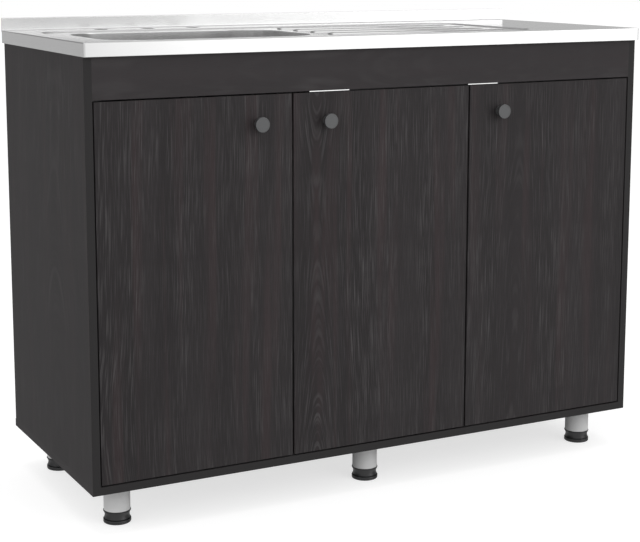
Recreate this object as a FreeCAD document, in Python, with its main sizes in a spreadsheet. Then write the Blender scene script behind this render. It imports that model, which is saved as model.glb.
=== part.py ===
import FreeCAD, Part
import math
import os
import Sketcher

# Kitchen sink unit, 1200 mm wide: pressed steel top with one bowl and a drainboard on a wood-grain
# cupboard with three inset doors, on six round legs with levelling feet.
# Frame: X along the width, Y from front to back, Z up, origin on the floor under the middle of the unit.
# Millimetres and degrees.

os.makedirs("parts", exist_ok=True)
doc = FreeCAD.newDocument("sink_unit")

V = FreeCAD.Vector
SIDEWAYS = FreeCAD.Rotation(V(0, 1, 0), 90)
TOWARDS_FRONT = FreeCAD.Rotation(V(1, 0, 0), 90)
TOWARDS_BACK = FreeCAD.Rotation(V(1, 0, 0), -90)
UPSIDE_DOWN = FreeCAD.Rotation(V(1, 0, 0), 180)
UPRIGHT = FreeCAD.Rotation()

# ---------------------------------------------------------------- driving dimensions

DIMENSIONS = {
    # steel top
    "top_width": 1200, "top_depth": 500, "lip_height": 25, "sheet_gauge": 0.8, "splash_height": 25,
    "splash_thickness": 2.4, "splash_cove": 6, "edge_radius": 1.2, "side_overhang": 2, "front_overhang": 10,
    "tray_left": 40, "tray_front": 40, "tray_width": 938, "tray_length": 372, "tray_drop": 2,
    "tray_corner": 55, "rib_count": 4, "rib_spacing": 75, "rib_length": 385, "rib_width": 26,
    "rib_height": 1.6, "rib_taper": 55, "rib_from_left": 548, "rib_from_front": 110,
    "tap_count": 3, "tap_spacing": 100, "tap_radius": 14.5, "tap_from_left": 192, "tap_from_front": 450,
    # bowl and waste
    "bowl_from_left": 81, "bowl_from_front": 81, "bowl_length": 418, "bowl_breadth": 273,
    "bowl_depth": 160, "bowl_corner": 74, "bowl_floor_radius": 40, "bowl_roll": 6, "bowl_flange": 4,
    "waste_flange_radius": 56, "waste_radius": 43.5, "waste_wall": 1, "waste_depth": 42,
    "waste_outlet_radius": 21, "waste_outlet_length": 22, "gasket_width": 9, "gasket_thickness": 3,
    "nut_thickness": 9, "basket_clearance": 0.8, "basket_depth": 26, "basket_rim_height": 2,
    "tailpiece_length": 95, "tailpiece_radius": 19, "tailpiece_wall": 1.2, "tailpiece_flange": 2,
    "bead_drop": 14, "bead_width": 3, "bead_height": 1.2,
    "slip_nut_radius": 25, "slip_nut_height": 16,
    # carcass
    "panel_thickness": 15, "side_height": 798, "rear_overhang": 12, "base_projection": 3,
    "header_height": 100, "rear_rail_height": 80, "partition_offset": 192.5, "partition_setback": 17,
    "partition_top_gap": 2, "shelf_height": 330, "shelf_setback": 30, "shelf_depth": 430, "shelf_gap": 1,
    # doors
    "door_thickness": 15, "door_side_gap": 2.5, "door_gap": 3.5, "door_top_gap": 3, "door_bottom_gap": 3,
    "door_edge_radius": 1,
    # knobs
    "knob_projection": 20, "knob_radius": 14.25, "knob_face_thickness": 6.5, "knob_neck_radius": 6,
    "knob_foot_radius": 8.7, "knob_foot_thickness": 2, "knob_chamfer": 1, "knob_inset": 69, "knob_drop": 53,
    # hinges
    "pivot_inset": 6.2, "pivot_depth": 5.6, "pin_radius": 1, "pin_clearance": 0.08, "eye_radius": 1.9,
    "cup_inset": 20.5, "cup_radius": 17.5, "cup_depth": 12.3, "cup_wall": 0.7, "cup_flange": 1.2,
    "cup_flange_width": 22, "cup_flange_length": 58, "cup_screw_spread": 48, "arm_height": 7,
    "arm_gauge": 1.6, "arm_reach": 16.9, "arm_channel": 6.4, "arm_start": 20, "arm_length": 46,
    "plate_start": 30, "plate_length": 32, "plate_height": 14, "wing_gauge": 2, "wing_width": 18,
    "wing_length": 46, "wing_screw_spread": 32, "hinge_end_distance": 90,
    # fasteners and fits
    "fit": 0.1, "wood_screw_radius": 1.8, "wood_screw_length": 12, "wood_screw_head": 3.4,
    "head_height": 2, "carcass_screw_radius": 3.4, "carcass_screw_length": 47, "carcass_screw_head": 5,
    "carcass_screw_front": 80, "carcass_screw_back": 400, "knob_screw_radius": 2, "knob_screw_grip": 9,
    "knob_screw_head": 4,
    "dowel_radius": 4, "dowel_in_side": 10, "dowel_in_rail": 20, "dowel_edge": 22, "shelf_pin_radius": 2.5,
    "shelf_pin_length": 9, "shelf_pin_front": 60, "shelf_pin_back": 400,
    "bracket_leg": 25, "bracket_reach": 16, "bracket_width": 20, "bracket_gauge": 1.5,
    "bracket_front": 110, "bracket_back": 380, "bracket_screw_drop": 14,
    # legs
    "leg_height": 80, "tube_radius": 25, "tube_wall": 1.2, "leg_inset": 70, "socket_height": 20,
    "socket_screw_radius": 2, "socket_screw_grip": 12, "plug_height": 14, "foot_height": 24,
    "foot_radius": 26, "foot_neck_radius": 22, "foot_waist_radius": 23.5, "foot_disc": 7.5,
    "foot_ring": 1.6, "foot_round": 2, "foot_gap": 0.4, "stem_radius": 5, "stem_length": 26,
    "stem_clearance": 0.4,
}

dims = doc.addObject("Spreadsheet::Sheet", "dims")
for row, (alias, value) in enumerate(DIMENSIONS.items(), start=1):
    dims.set(f"A{row}", alias)
    dims.set(f"B{row}", str(value))
    dims.setAlias(f"B{row}", alias)
doc.recompute()

# Places and levels that follow from the driving dimensions.
PLACES = {
    "front_y": "(dims.knob_projection - dims.top_depth + dims.front_overhang) / 2",
    "carcass_width": "dims.top_width - 2 * dims.side_overhang",
    "left_x": "-places.carcass_width / 2",
    "inner_left_x": "places.left_x + dims.panel_thickness",
    "inner_right_x": "-places.inner_left_x",
    "inner_width": "places.carcass_width - 2 * dims.panel_thickness",
    "base_top_z": "dims.leg_height + dims.panel_thickness",
    "carcass_top_z": "places.base_top_z + dims.side_height",
    "rim_z": "places.carcass_top_z + dims.sheet_gauge",
    "lip_z": "places.rim_z - dims.lip_height",
    "side_depth": "dims.top_depth - dims.front_overhang - dims.rear_overhang",
    "base_depth": "places.side_depth + dims.base_projection",
    "tray_z": "places.rim_z - dims.tray_drop",
    "top_front_y": "places.front_y - dims.front_overhang",
    "header_z": "places.carcass_top_z - dims.header_height",
    "rear_rail_y": "places.front_y + places.side_depth - dims.panel_thickness",
    "partition_x": "dims.partition_offset - dims.panel_thickness / 2",
    "door_z": "places.base_top_z + dims.door_bottom_gap",
    "door_height": "places.header_z - dims.door_top_gap - places.door_z",
    "door_left_x": "places.inner_left_x + dims.door_side_gap",
    "pair_end_x": "dims.partition_offset - dims.door_gap / 2",
    "pair_width": "(places.pair_end_x - places.door_left_x - dims.door_gap) / 2",
    "door_middle_x": "places.door_left_x + places.pair_width + dims.door_gap",
    "door_right_x": "dims.partition_offset + dims.door_gap / 2",
    "door_right_end_x": "places.inner_right_x - dims.door_side_gap",
    "door_right_width": "places.door_right_end_x - places.door_right_x",
    "door_back_y": "places.front_y + dims.door_thickness",
    "knob_z": "places.door_z + places.door_height - dims.knob_drop",
    "shelf_x": "places.partition_x + dims.panel_thickness + dims.shelf_gap",
    "shelf_width": "places.inner_right_x - dims.shelf_gap - places.shelf_x",
    "shelf_z": "places.base_top_z + dims.shelf_height",
    "hinge_low_z": "places.door_z + dims.hinge_end_distance",
    "hinge_high_z": "places.door_z + places.door_height - dims.hinge_end_distance",
    "bowl_x": "dims.bowl_from_left + dims.bowl_length / 2 - dims.top_width / 2",
    "bowl_y": "places.top_front_y + dims.bowl_from_front + dims.bowl_breadth / 2",
    "bowl_floor_z": "places.tray_z - dims.bowl_depth",
    "waste_outer": "dims.waste_radius + dims.waste_wall",
    "outlet_z": "places.bowl_floor_z - dims.waste_depth - dims.waste_outlet_length",
    "tube_bottom_z": "dims.foot_height + dims.foot_gap",
}

places = doc.addObject("Spreadsheet::Sheet", "places")
for row, (alias, formula) in enumerate(PLACES.items(), start=1):
    places.set(f"A{row}", alias)
    places.set(f"B{row}", "=" + formula.replace("places.", ""))
    places.setAlias(f"B{row}", alias)
doc.recompute()


def size(alias):
    """The number in a cell of either sheet."""
    return float(dims.get(alias)) if alias in DIMENSIONS else float(places.get(alias))


# ---------------------------------------------------------------- building helpers

def new_body(name):
    body = doc.addObject("PartDesign::Body", name)
    body.Label = name
    return body


def put(piece, x="0", y="0", z="0", rotation=UPRIGHT):
    """Set a piece's turn, and bind its place to the sheets."""
    piece.Placement = FreeCAD.Placement(V(0, 0, 0), rotation)
    for axis, expression in zip("xyz", (x, y, z)):
        piece.setExpression(f".Placement.Base.{axis}", expression)


def new_sketch(body, role, lift="0"):
    """A sketch on one of the body's own origin planes, lifted along that plane's normal."""
    plane = next(f for f in body.Origin.OriginFeatures if f.Role == role)
    sketch = body.newObject("Sketcher::SketchObject", "sketch")
    sketch.AttachmentSupport = [(plane, "")]
    sketch.MapMode = "FlatFace"
    sketch.setExpression("AttachmentOffset.Base.z", lift)
    return sketch


def bound(sketch, kind, first, second, expression):
    """A distance between two points, or from the sketch's origin if there is no first one."""
    value = float(dims.evalExpression(expression))
    number = sketch.addConstraint(Sketcher.Constraint(kind, *(first or (-1, 1)), *second, value))
    name = f"size_{number}"
    sketch.renameConstraint(number, name)
    sketch.setExpression(f"Constraints.{name}", expression)


def add_rectangle(sketch, x, y, width, depth):
    """A rectangle whose near corner is at x, y from the sketch's origin."""
    corners = [V(1, 1, 0), V(2, 1, 0), V(2, 2, 0), V(1, 2, 0)]
    lines = [sketch.addGeometry(Part.LineSegment(corners[i], corners[(i + 1) % 4]), False) for i in range(4)]
    for i in range(4):
        sketch.addConstraint(Sketcher.Constraint("Coincident", lines[i], 2, lines[(i + 1) % 4], 1))
    for i, kind in enumerate(("Horizontal", "Vertical", "Horizontal", "Vertical")):
        sketch.addConstraint(Sketcher.Constraint(kind, lines[i]))
    bound(sketch, "DistanceX", None, (lines[0], 1), x)
    bound(sketch, "DistanceY", None, (lines[0], 1), y)
    bound(sketch, "DistanceX", (lines[0], 1), (lines[0], 2), width)
    bound(sketch, "DistanceY", (lines[1], 1), (lines[1], 2), depth)


def add_circle(sketch, x, y, radius):
    circle = sketch.addGeometry(Part.Circle(V(1, 1, 0), V(0, 0, 1), 1.0), False)
    bound(sketch, "DistanceX", None, (circle, 3), x)
    bound(sketch, "DistanceY", None, (circle, 3), y)
    number = sketch.addConstraint(Sketcher.Constraint("Radius", circle, 1.0))
    sketch.renameConstraint(number, f"radius_{number}")
    sketch.setExpression(f"Constraints.radius_{number}", radius)


def add_profile(sketch, points):
    """A closed outline through points given as pairs of expressions, for a turned piece."""
    count = len(points)
    guess = [V(1 + math.cos(-math.tau * i / count), 1 + math.sin(-math.tau * i / count), 0)
             for i in range(count)]
    lines = [sketch.addGeometry(Part.LineSegment(guess[i], guess[(i + 1) % count]), False)
             for i in range(count)]
    for i in range(count):
        sketch.addConstraint(Sketcher.Constraint("Coincident", lines[i], 2, lines[(i + 1) % count], 1))
    for line, (x, y) in zip(lines, points):
        bound(sketch, "DistanceX", None, (line, 1), x)
        bound(sketch, "DistanceY", None, (line, 1), y)


def pad(body, sketch, length, taper=None):
    feature = body.newObject("PartDesign::Pad", "pad")
    feature.Profile = sketch
    feature.setExpression("Length", length)
    if taper:
        feature.setExpression("TaperAngle", taper)
    return feature


def pocket(body, sketch, length, forwards):
    """Cut along the sketch's normal if forwards, or against it, and prove that something was cut."""
    doc.recompute()
    before = body.Shape.Volume
    feature = body.newObject("PartDesign::Pocket", "pocket")
    feature.Profile = sketch
    feature.Reversed = forwards
    feature.setExpression("Length", length)
    doc.recompute()
    if body.Shape.Volume >= before - 1e-6:
        raise RuntimeError(f"{body.Label}: a pocket cut nothing")
    return feature


def drill(body, role, lift, centres, radius, depth, forwards):
    """Round holes of one size from one plane of a body."""
    sketch = new_sketch(body, role, lift)
    for x, y in centres:
        add_circle(sketch, x, y, radius)
    return pocket(body, sketch, depth, forwards)


def edges_where(feature, test):
    return [f"Edge{i}" for i, edge in enumerate(feature.Shape.Edges, start=1) if test(edge)]


def is_upright(edge):
    ends = [vertex.Point for vertex in edge.Vertexes]
    return len(ends) == 2 and (ends[0] - ends[1]).cross(V(0, 0, 1)).Length < 1e-6


def lies_at(height):
    """A test for the edges that lie level at a height of the body."""
    return lambda edge: max(abs(vertex.Z - height) for vertex in edge.Vertexes) < 1e-4


def round_edges(body, feature, test, radius):
    doc.recompute()
    names = edges_where(feature, test)
    fillet = body.newObject("PartDesign::Fillet", "fillet")
    fillet.Base = (feature, names)
    fillet.setExpression("Radius", radius)
    return fillet


def block(name, width, depth, height):
    """A body that is one rectangular pad, with its near lower corner at its own origin."""
    body = new_body(name)
    sketch = new_sketch(body, "XY_Plane")
    add_rectangle(sketch, "0", "0", width, depth)
    pad(body, sketch, height)
    return body


def turned(name, profile):
    """A body turned round its own Z axis from a half section given as radius and height."""
    body = new_body(name)
    sketch = new_sketch(body, "XZ_Plane")
    add_profile(sketch, profile)
    revolution = body.newObject("PartDesign::Revolution", "revolution")
    revolution.Profile = sketch
    revolution.ReferenceAxis = (sketch, ["V_Axis"])
    revolution.Angle = 360
    return body


def group(name, placed):
    """One node of separate solids: pairs of a shape and its placement."""
    solids = []
    for shape, placement in placed:
        solid = shape.copy()
        solid.Placement = placement.multiply(solid.Placement)
        solids.append(solid)
    piece = doc.addObject("Part::Feature", name)
    piece.Label = name
    piece.Shape = Part.makeCompound(solids)
    return piece


def at(x, y, z, rotation=UPRIGHT):
    return FreeCAD.Placement(V(x, y, z), rotation)


PIECES = []


def keep(*pieces):
    """List pieces as nodes of the finished unit."""
    PIECES.extend(pieces)
    return pieces[0]


# ---------------------------------------------------------------- screws, dowels and pins

def screw(name, radius, length, head_radius, head_height):
    """A screw that points down: the underside of its head is at its own origin."""
    return turned(name, [("0", f"-({length})"), (radius, f"-({length})"), (radius, "0"),
                         (head_radius, "0"), (head_radius, head_height), ("0", head_height)])


wood_screw = screw("wood_screw", "dims.wood_screw_radius", "dims.wood_screw_length",
                   "dims.wood_screw_head", "dims.head_height")
carcass_screw = screw("carcass_screw", "dims.carcass_screw_radius", "dims.carcass_screw_length",
                      "dims.carcass_screw_head", "dims.head_height")
socket_screw = screw("socket_screw", "dims.socket_screw_radius",
                     "dims.socket_height + dims.socket_screw_grip", "dims.wood_screw_head",
                     "dims.head_height")
knob_screw = screw("knob_screw", "dims.knob_screw_radius", "dims.door_thickness + dims.knob_screw_grip",
                   "dims.knob_screw_head", "dims.head_height")
dowel = turned("dowel", [("0", "0"), ("dims.dowel_radius", "0"),
                         ("dims.dowel_radius", "dims.dowel_in_side + dims.dowel_in_rail"),
                         ("0", "dims.dowel_in_side + dims.dowel_in_rail")])
shelf_pin = turned("shelf_pin", [("0", "0"), ("dims.shelf_pin_radius", "0"),
                                 ("dims.shelf_pin_radius", "2 * dims.shelf_pin_length"),
                                 ("0", "2 * dims.shelf_pin_length")])
doc.recompute()

# ---------------------------------------------------------------- carcass

LEG_COLUMNS = ["dims.leg_inset", "places.carcass_width / 2", "places.carcass_width - dims.leg_inset"]
LEG_ROWS = ["dims.leg_inset", "places.base_depth - dims.leg_inset"]
UPRIGHTS = ["dims.panel_thickness / 2", "places.carcass_width - dims.panel_thickness / 2",
            "dims.partition_offset - places.left_x"]
SCREW_ROWS = ["dims.carcass_screw_front", "dims.carcass_screw_back"]

base = keep(block("base_panel", "places.carcass_width", "places.base_depth", "dims.panel_thickness"))
put(base, "places.left_x", "places.front_y", "dims.leg_height")
carcass_screw_holes = [(x, y) for x in UPRIGHTS for y in SCREW_ROWS]
drill(base, "XY_Plane", "0", carcass_screw_holes, "dims.carcass_screw_radius + dims.fit",
      "dims.panel_thickness", True)
drill(base, "XY_Plane", "0", carcass_screw_holes, "dims.carcass_screw_head + dims.fit",
      "dims.head_height", True)
drill(base, "XY_Plane", "0", [(x, y) for x in LEG_COLUMNS for y in LEG_ROWS],
      "dims.socket_screw_radius + dims.fit", "dims.socket_screw_grip", True)

SIDE_BITE = "dims.carcass_screw_length - dims.panel_thickness + dims.head_height + dims.fit"
SHELF_PINS_Z = "dims.shelf_height - dims.shelf_pin_radius"
HEADER_MIDDLE = "dims.panel_thickness / 2"
REAR_MIDDLE = "places.side_depth - dims.panel_thickness / 2"
HIGH_DOWELS = ["dims.side_height - dims.dowel_edge",
               "dims.side_height - dims.header_height + dims.dowel_edge"]
LOW_DOWELS = ["dims.dowel_edge", "dims.rear_rail_height - dims.dowel_edge"]
DOWELS_YZ = ([(HEADER_MIDDLE, z) for z in HIGH_DOWELS] + [(REAR_MIDDLE, z) for z in HIGH_DOWELS]
             + [(REAR_MIDDLE, z) for z in LOW_DOWELS])
HINGE_SCREW_Y = "dims.plate_start + dims.wing_width / 2"
HINGE_SCREWS_Z = [f"{level} - places.base_top_z {sign} dims.wing_screw_spread / 2"
                  for level in ("places.hinge_low_z", "places.hinge_high_z") for sign in "-+"]
BRACKET_SCREW_Z = "dims.side_height - dims.bracket_screw_drop"


def finish_upright(body, inner_face, has_hinges, has_shelf, has_rails):
    """Drill an upright panel: screws from below, and dowels, pins and screws in its inner face."""
    into_panel = inner_face == "left"
    lift = "0" if inner_face == "left" else "dims.panel_thickness"
    drill(body, "XY_Plane", "0", [("dims.panel_thickness / 2", y) for y in SCREW_ROWS],
          "dims.carcass_screw_radius + dims.fit", SIDE_BITE, True)
    if has_rails:
        drill(body, "YZ_Plane", lift, DOWELS_YZ, "dims.dowel_radius + dims.fit",
              "dims.dowel_in_side + dims.fit", into_panel)
        drill(body, "YZ_Plane", lift, [(y, BRACKET_SCREW_Z) for y in ("dims.bracket_front", "dims.bracket_back")],
              "dims.wood_screw_radius + dims.fit", "dims.wood_screw_length", into_panel)
    if has_hinges:
        drill(body, "YZ_Plane", lift, [(HINGE_SCREW_Y, z) for z in HINGE_SCREWS_Z],
              "dims.wood_screw_radius + dims.fit", "dims.wood_screw_length", into_panel)
    if has_shelf:
        drill(body, "YZ_Plane", lift,
              [(y, SHELF_PINS_Z) for y in ("dims.shelf_pin_front", "dims.shelf_pin_back")],
              "dims.shelf_pin_radius + dims.fit", "dims.shelf_pin_length + dims.fit", into_panel)


side_left = keep(block("side_panel_left", "dims.panel_thickness", "places.side_depth", "dims.side_height"))
put(side_left, "places.left_x", "places.front_y", "places.base_top_z")
finish_upright(side_left, "right", has_hinges=True, has_shelf=False, has_rails=True)

side_right = keep(block("side_panel_right", "dims.panel_thickness", "places.side_depth", "dims.side_height"))
put(side_right, "places.inner_right_x", "places.front_y", "places.base_top_z")
finish_upright(side_right, "left", has_hinges=True, has_shelf=True, has_rails=True)

# The partition stands behind the gap of the middle and right doors, notched round the three rails.
partition = keep(block("partition", "dims.panel_thickness", "places.side_depth",
                       "dims.side_height - dims.tray_drop - dims.partition_top_gap"))
put(partition, "places.partition_x", "places.front_y", "places.base_top_z")
notches = new_sketch(partition, "YZ_Plane")
add_rectangle(notches, "0", "0", "dims.partition_setback", "dims.side_height - dims.header_height")
pocket(partition, notches, "dims.panel_thickness", True)
notches = new_sketch(partition, "YZ_Plane")
add_rectangle(notches, "0", "dims.side_height - dims.header_height", "dims.panel_thickness",
              "dims.header_height")
pocket(partition, notches, "dims.panel_thickness", True)
notches = new_sketch(partition, "YZ_Plane")
add_rectangle(notches, "places.side_depth - dims.panel_thickness", "dims.side_height - dims.header_height",
              "dims.panel_thickness", "dims.header_height")
add_rectangle(notches, "places.side_depth - dims.panel_thickness", "0", "dims.panel_thickness",
              "dims.rear_rail_height")
pocket(partition, notches, "dims.panel_thickness", True)
finish_upright(partition, "left", has_hinges=True, has_shelf=False, has_rails=False)
drill(partition, "YZ_Plane", "dims.panel_thickness",
      [(y, SHELF_PINS_Z) for y in ("dims.shelf_pin_front", "dims.shelf_pin_back")],
      "dims.shelf_pin_radius + dims.fit", "dims.shelf_pin_length + dims.fit", False)


def rail(name, height, y, z, dowels):
    """A rail between the side panels, with dowel holes in both ends."""
    body = keep(block(name, "places.inner_width", "dims.panel_thickness", height))
    put(body, "places.inner_left_x", y, z)
    for lift, forwards in (("0", True), ("places.inner_width", False)):
        drill(body, "YZ_Plane", lift, [("dims.panel_thickness / 2", dowel_z) for dowel_z in dowels],
              "dims.dowel_radius + dims.fit", "dims.dowel_in_rail + dims.fit", forwards)
    return body


HIGH_RAIL_DOWELS = ["dims.dowel_edge", "dims.header_height - dims.dowel_edge"]
rail("header_rail", "dims.header_height", "places.front_y", "places.header_z", HIGH_RAIL_DOWELS)
rail("rear_top_rail", "dims.header_height", "places.rear_rail_y", "places.header_z", HIGH_RAIL_DOWELS)
rail("rear_bottom_rail", "dims.rear_rail_height", "places.rear_rail_y", "places.base_top_z", LOW_DOWELS)

shelf = keep(block("shelf", "places.shelf_width", "dims.shelf_depth", "dims.panel_thickness"))
put(shelf, "places.shelf_x", "places.front_y + dims.shelf_setback", "places.shelf_z")

# ---------------------------------------------------------------- steel top

FLANGE_X = "dims.bowl_from_left - dims.bowl_roll - dims.bowl_flange"
FLANGE_Y = "dims.bowl_from_front - dims.bowl_roll - dims.bowl_flange"
FLANGE_EDGE = "2 * (dims.bowl_roll + dims.bowl_flange)"
TOP_UNDERSIDE = "dims.lip_height - dims.sheet_gauge"


def add_rounded_rectangle(sketch, x, y, width, depth, radius):
    """A rectangle with equal round corners, by its near corner and its sizes."""
    quarter = math.pi / 2
    centres = [V(2, 2, 0), V(4, 2, 0), V(4, 4, 0), V(2, 4, 0)]
    starts = [2 * quarter, 3 * quarter, 0, quarter]
    arcs = [sketch.addGeometry(Part.ArcOfCircle(Part.Circle(c, V(0, 0, 1), 1.0), a, a + quarter), False)
            for c, a in zip(centres, starts)]
    corners = [(V(2, 1, 0), V(4, 1, 0)), (V(5, 2, 0), V(5, 4, 0)), (V(4, 5, 0), V(2, 5, 0)),
               (V(1, 4, 0), V(1, 2, 0))]
    lines = [sketch.addGeometry(Part.LineSegment(*ends), False) for ends in corners]
    for i in range(4):
        sketch.addConstraint(Sketcher.Constraint("Tangent", arcs[i], 2, lines[i], 1))
        sketch.addConstraint(Sketcher.Constraint("Tangent", lines[i], 2, arcs[(i + 1) % 4], 1))
    for i in (1, 2, 3):
        sketch.addConstraint(Sketcher.Constraint("Equal", arcs[0], arcs[i]))
    sketch.addConstraint(Sketcher.Constraint("Horizontal", lines[0]))
    sketch.addConstraint(Sketcher.Constraint("Vertical", lines[1]))
    sketch.addConstraint(Sketcher.Constraint("Horizontal", lines[2]))
    sketch.addConstraint(Sketcher.Constraint("Vertical", lines[3]))
    number = sketch.addConstraint(Sketcher.Constraint("Radius", arcs[0], 1.0))
    sketch.renameConstraint(number, "corner")
    sketch.setExpression("Constraints.corner", radius)
    bound(sketch, "DistanceX", None, (lines[3], 1), x)
    bound(sketch, "DistanceY", None, (lines[0], 1), y)
    bound(sketch, "DistanceX", (lines[3], 1), (lines[1], 1), width)
    bound(sketch, "DistanceY", (lines[0], 1), (lines[2], 1), depth)


top = keep(block("sink_top", "dims.top_width", "dims.top_depth", "dims.lip_height"))
put(top, "-dims.top_width / 2", "places.top_front_y", "places.lip_z")
round_edges(top, top.Tip, lambda edge: lies_at(size("lip_height"))(edge) or is_upright(edge),
            "dims.edge_radius")

hollow = new_sketch(top, "XY_Plane")
add_rectangle(hollow, "dims.sheet_gauge", "dims.sheet_gauge", "dims.top_width - 2 * dims.sheet_gauge",
              "dims.top_depth - 2 * dims.sheet_gauge")
pocket(top, hollow, TOP_UNDERSIDE, True)

tray_pan = new_sketch(top, "XY_Plane", f"{TOP_UNDERSIDE} - dims.tray_drop")
add_rounded_rectangle(tray_pan, "dims.tray_left - dims.sheet_gauge", "dims.tray_front - dims.sheet_gauge",
                      "dims.tray_width + 2 * dims.sheet_gauge", "dims.tray_length + 2 * dims.sheet_gauge",
                      "dims.tray_corner + dims.sheet_gauge")
pad(top, tray_pan, "dims.tray_drop + dims.sheet_gauge / 2")

tray = new_sketch(top, "XY_Plane", "dims.lip_height")
add_rounded_rectangle(tray, "dims.tray_left", "dims.tray_front", "dims.tray_width", "dims.tray_length",
                      "dims.tray_corner")
pocket(top, tray, "dims.tray_drop", False)

opening = new_sketch(top, "XY_Plane", "dims.lip_height")
add_rounded_rectangle(opening, FLANGE_X, FLANGE_Y, f"dims.bowl_length + {FLANGE_EDGE}",
                      f"dims.bowl_breadth + {FLANGE_EDGE}",
                      "dims.bowl_corner + dims.bowl_roll + dims.bowl_flange")
pocket(top, opening, "dims.lip_height", False)

drill(top, "XY_Plane", "dims.lip_height",
      [(f"dims.tap_from_left + {i} * dims.tap_spacing", "dims.tap_from_front")
       for i in range(int(size("tap_count")))],
      "dims.tap_radius", "2 * dims.sheet_gauge", False)

rib = new_sketch(top, "XY_Plane", "dims.lip_height - dims.tray_drop")
add_rounded_rectangle(rib, "dims.rib_from_left", "dims.rib_from_front - dims.rib_width / 2",
                      "dims.rib_length", "dims.rib_width", "dims.rib_width / 2 - 0.01")
rib_pad = pad(top, rib, "dims.rib_height", "-dims.rib_taper")
ribs = top.newObject("PartDesign::LinearPattern", "ribs")
ribs.Originals = [rib_pad]
ribs.Direction = (rib, ["V_Axis"])
ribs.setExpression("Length", "dims.rib_spacing * (dims.rib_count - 1)")
ribs.setExpression("Occurrences", "dims.rib_count")
top.Tip = ribs

# The splashback rises from the ledge through a hollow cove.
COVE_FOOT = "dims.top_depth - dims.splash_thickness - dims.splash_cove"
splash = new_sketch(top, "YZ_Plane")
cove_radius = size("splash_cove")
ledge_z = size("lip_height")
wall_y = size("top_depth") - size("splash_thickness")
cove_circle = Part.Circle(V(wall_y - cove_radius, ledge_z + cove_radius, 0), V(0, 0, 1), cove_radius)
cove = splash.addGeometry(Part.ArcOfCircle(cove_circle, -math.pi / 2, 0), False)
outline = [V(wall_y, ledge_z + cove_radius, 0), V(wall_y, ledge_z + size("splash_height"), 0),
           V(size("top_depth"), ledge_z + size("splash_height"), 0),
           V(size("top_depth"), ledge_z - size("sheet_gauge") / 2, 0),
           V(wall_y - cove_radius, ledge_z - size("sheet_gauge") / 2, 0),
           V(wall_y - cove_radius, ledge_z, 0)]
runs = [splash.addGeometry(Part.LineSegment(a, b), False) for a, b in zip(outline, outline[1:])]
for first, second in zip(runs, runs[1:]):
    splash.addConstraint(Sketcher.Constraint("Coincident", first, 2, second, 1))
splash.addConstraint(Sketcher.Constraint("Coincident", runs[-1], 2, cove, 1))
splash.addConstraint(Sketcher.Constraint("Tangent", cove, 2, runs[0], 1))
for run, kind in zip(runs, ("Vertical", "Horizontal", "Vertical", "Horizontal", "Vertical")):
    splash.addConstraint(Sketcher.Constraint(kind, run))
bound(splash, "DistanceX", None, (cove, 1), COVE_FOOT)
bound(splash, "DistanceY", None, (cove, 1), "dims.lip_height")
bound(splash, "DistanceX", None, (cove, 2), "dims.top_depth - dims.splash_thickness")
bound(splash, "DistanceY", None, (cove, 2), "dims.lip_height + dims.splash_cove")
bound(splash, "DistanceX", None, (runs[1], 2), "dims.top_depth")
bound(splash, "DistanceY", None, (runs[1], 2), "dims.lip_height + dims.splash_height")
bound(splash, "DistanceY", None, (runs[3], 1), f"{TOP_UNDERSIDE} + dims.sheet_gauge / 4")
splash_pad = pad(top, splash, "dims.top_width")
round_edges(top, splash_pad, lies_at(size("lip_height") + size("splash_height")),
            "dims.splash_thickness * 0.4")

# ---------------------------------------------------------------- bowl: outer form less its hollow

BOWL_X = "dims.bowl_from_left - dims.top_width / 2"
BOWL_Y = "places.top_front_y + dims.bowl_from_front"


def bowl_form(name, grow, floor_z, flange_z, flange_height, roll):
    """A tub with a flange round its mouth, grown outwards from the bowl's inner walls."""
    body = new_body(name)
    put(body, BOWL_X, BOWL_Y, "places.bowl_floor_z")
    flange = new_sketch(body, "XY_Plane", flange_z)
    reach = "dims.bowl_roll + dims.bowl_flange"
    add_rounded_rectangle(flange, f"-({reach})", f"-({reach})", f"dims.bowl_length + 2 * ({reach})",
                          f"dims.bowl_breadth + 2 * ({reach})", f"dims.bowl_corner + {reach}")
    pad(body, flange, flange_height)
    tub = new_sketch(body, "XY_Plane", floor_z)
    add_rounded_rectangle(tub, f"-({grow})", f"-({grow})", f"dims.bowl_length + 2 * ({grow})",
                          f"dims.bowl_breadth + 2 * ({grow})", f"dims.bowl_corner + {grow}")
    tub_pad = pad(body, tub, f"{flange_z} - ({floor_z})")
    doc.recompute()
    level = float(body.evalExpression(flange_z))
    wall = float(body.evalExpression(grow))

    def is_mouth(edge):
        """The corner between the flange and the walls."""
        if not lies_at(level)(edge):
            return False
        if isinstance(edge.Curve, Part.Circle):
            return abs(edge.Curve.Radius - size("bowl_corner") - wall) < 1e-3
        middle = edge.valueAt((edge.FirstParameter + edge.LastParameter) / 2)
        return (-wall - 1 < middle.x < size("bowl_length") + wall + 1
                and -wall - 1 < middle.y < size("bowl_breadth") + wall + 1)

    rolled = round_edges(body, tub_pad, is_mouth, roll)
    doc.recompute()
    round_edges(body, rolled, lies_at(float(body.evalExpression(floor_z))),
                f"dims.bowl_floor_radius + {grow}")
    return body


bowl_outside = bowl_form("bowl_outside", "dims.sheet_gauge", "-dims.sheet_gauge",
                         "dims.bowl_depth - dims.sheet_gauge", "dims.sheet_gauge",
                         "dims.bowl_roll - dims.sheet_gauge")
bowl_inside = bowl_form("bowl_inside", "0", "0", "dims.bowl_depth", "dims.lip_height", "dims.bowl_roll")
drain = new_sketch(bowl_inside, "XY_Plane", "-dims.lip_height")
add_circle(drain, "dims.bowl_length / 2", "dims.bowl_breadth / 2", "places.waste_outer + dims.fit")
pad(bowl_inside, drain, "dims.lip_height + 1")
bowl = doc.addObject("Part::Cut", "sink_bowl")
bowl.Label = "sink_bowl"
bowl.Base = bowl_outside
bowl.Tool = bowl_inside
keep(bowl)

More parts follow.
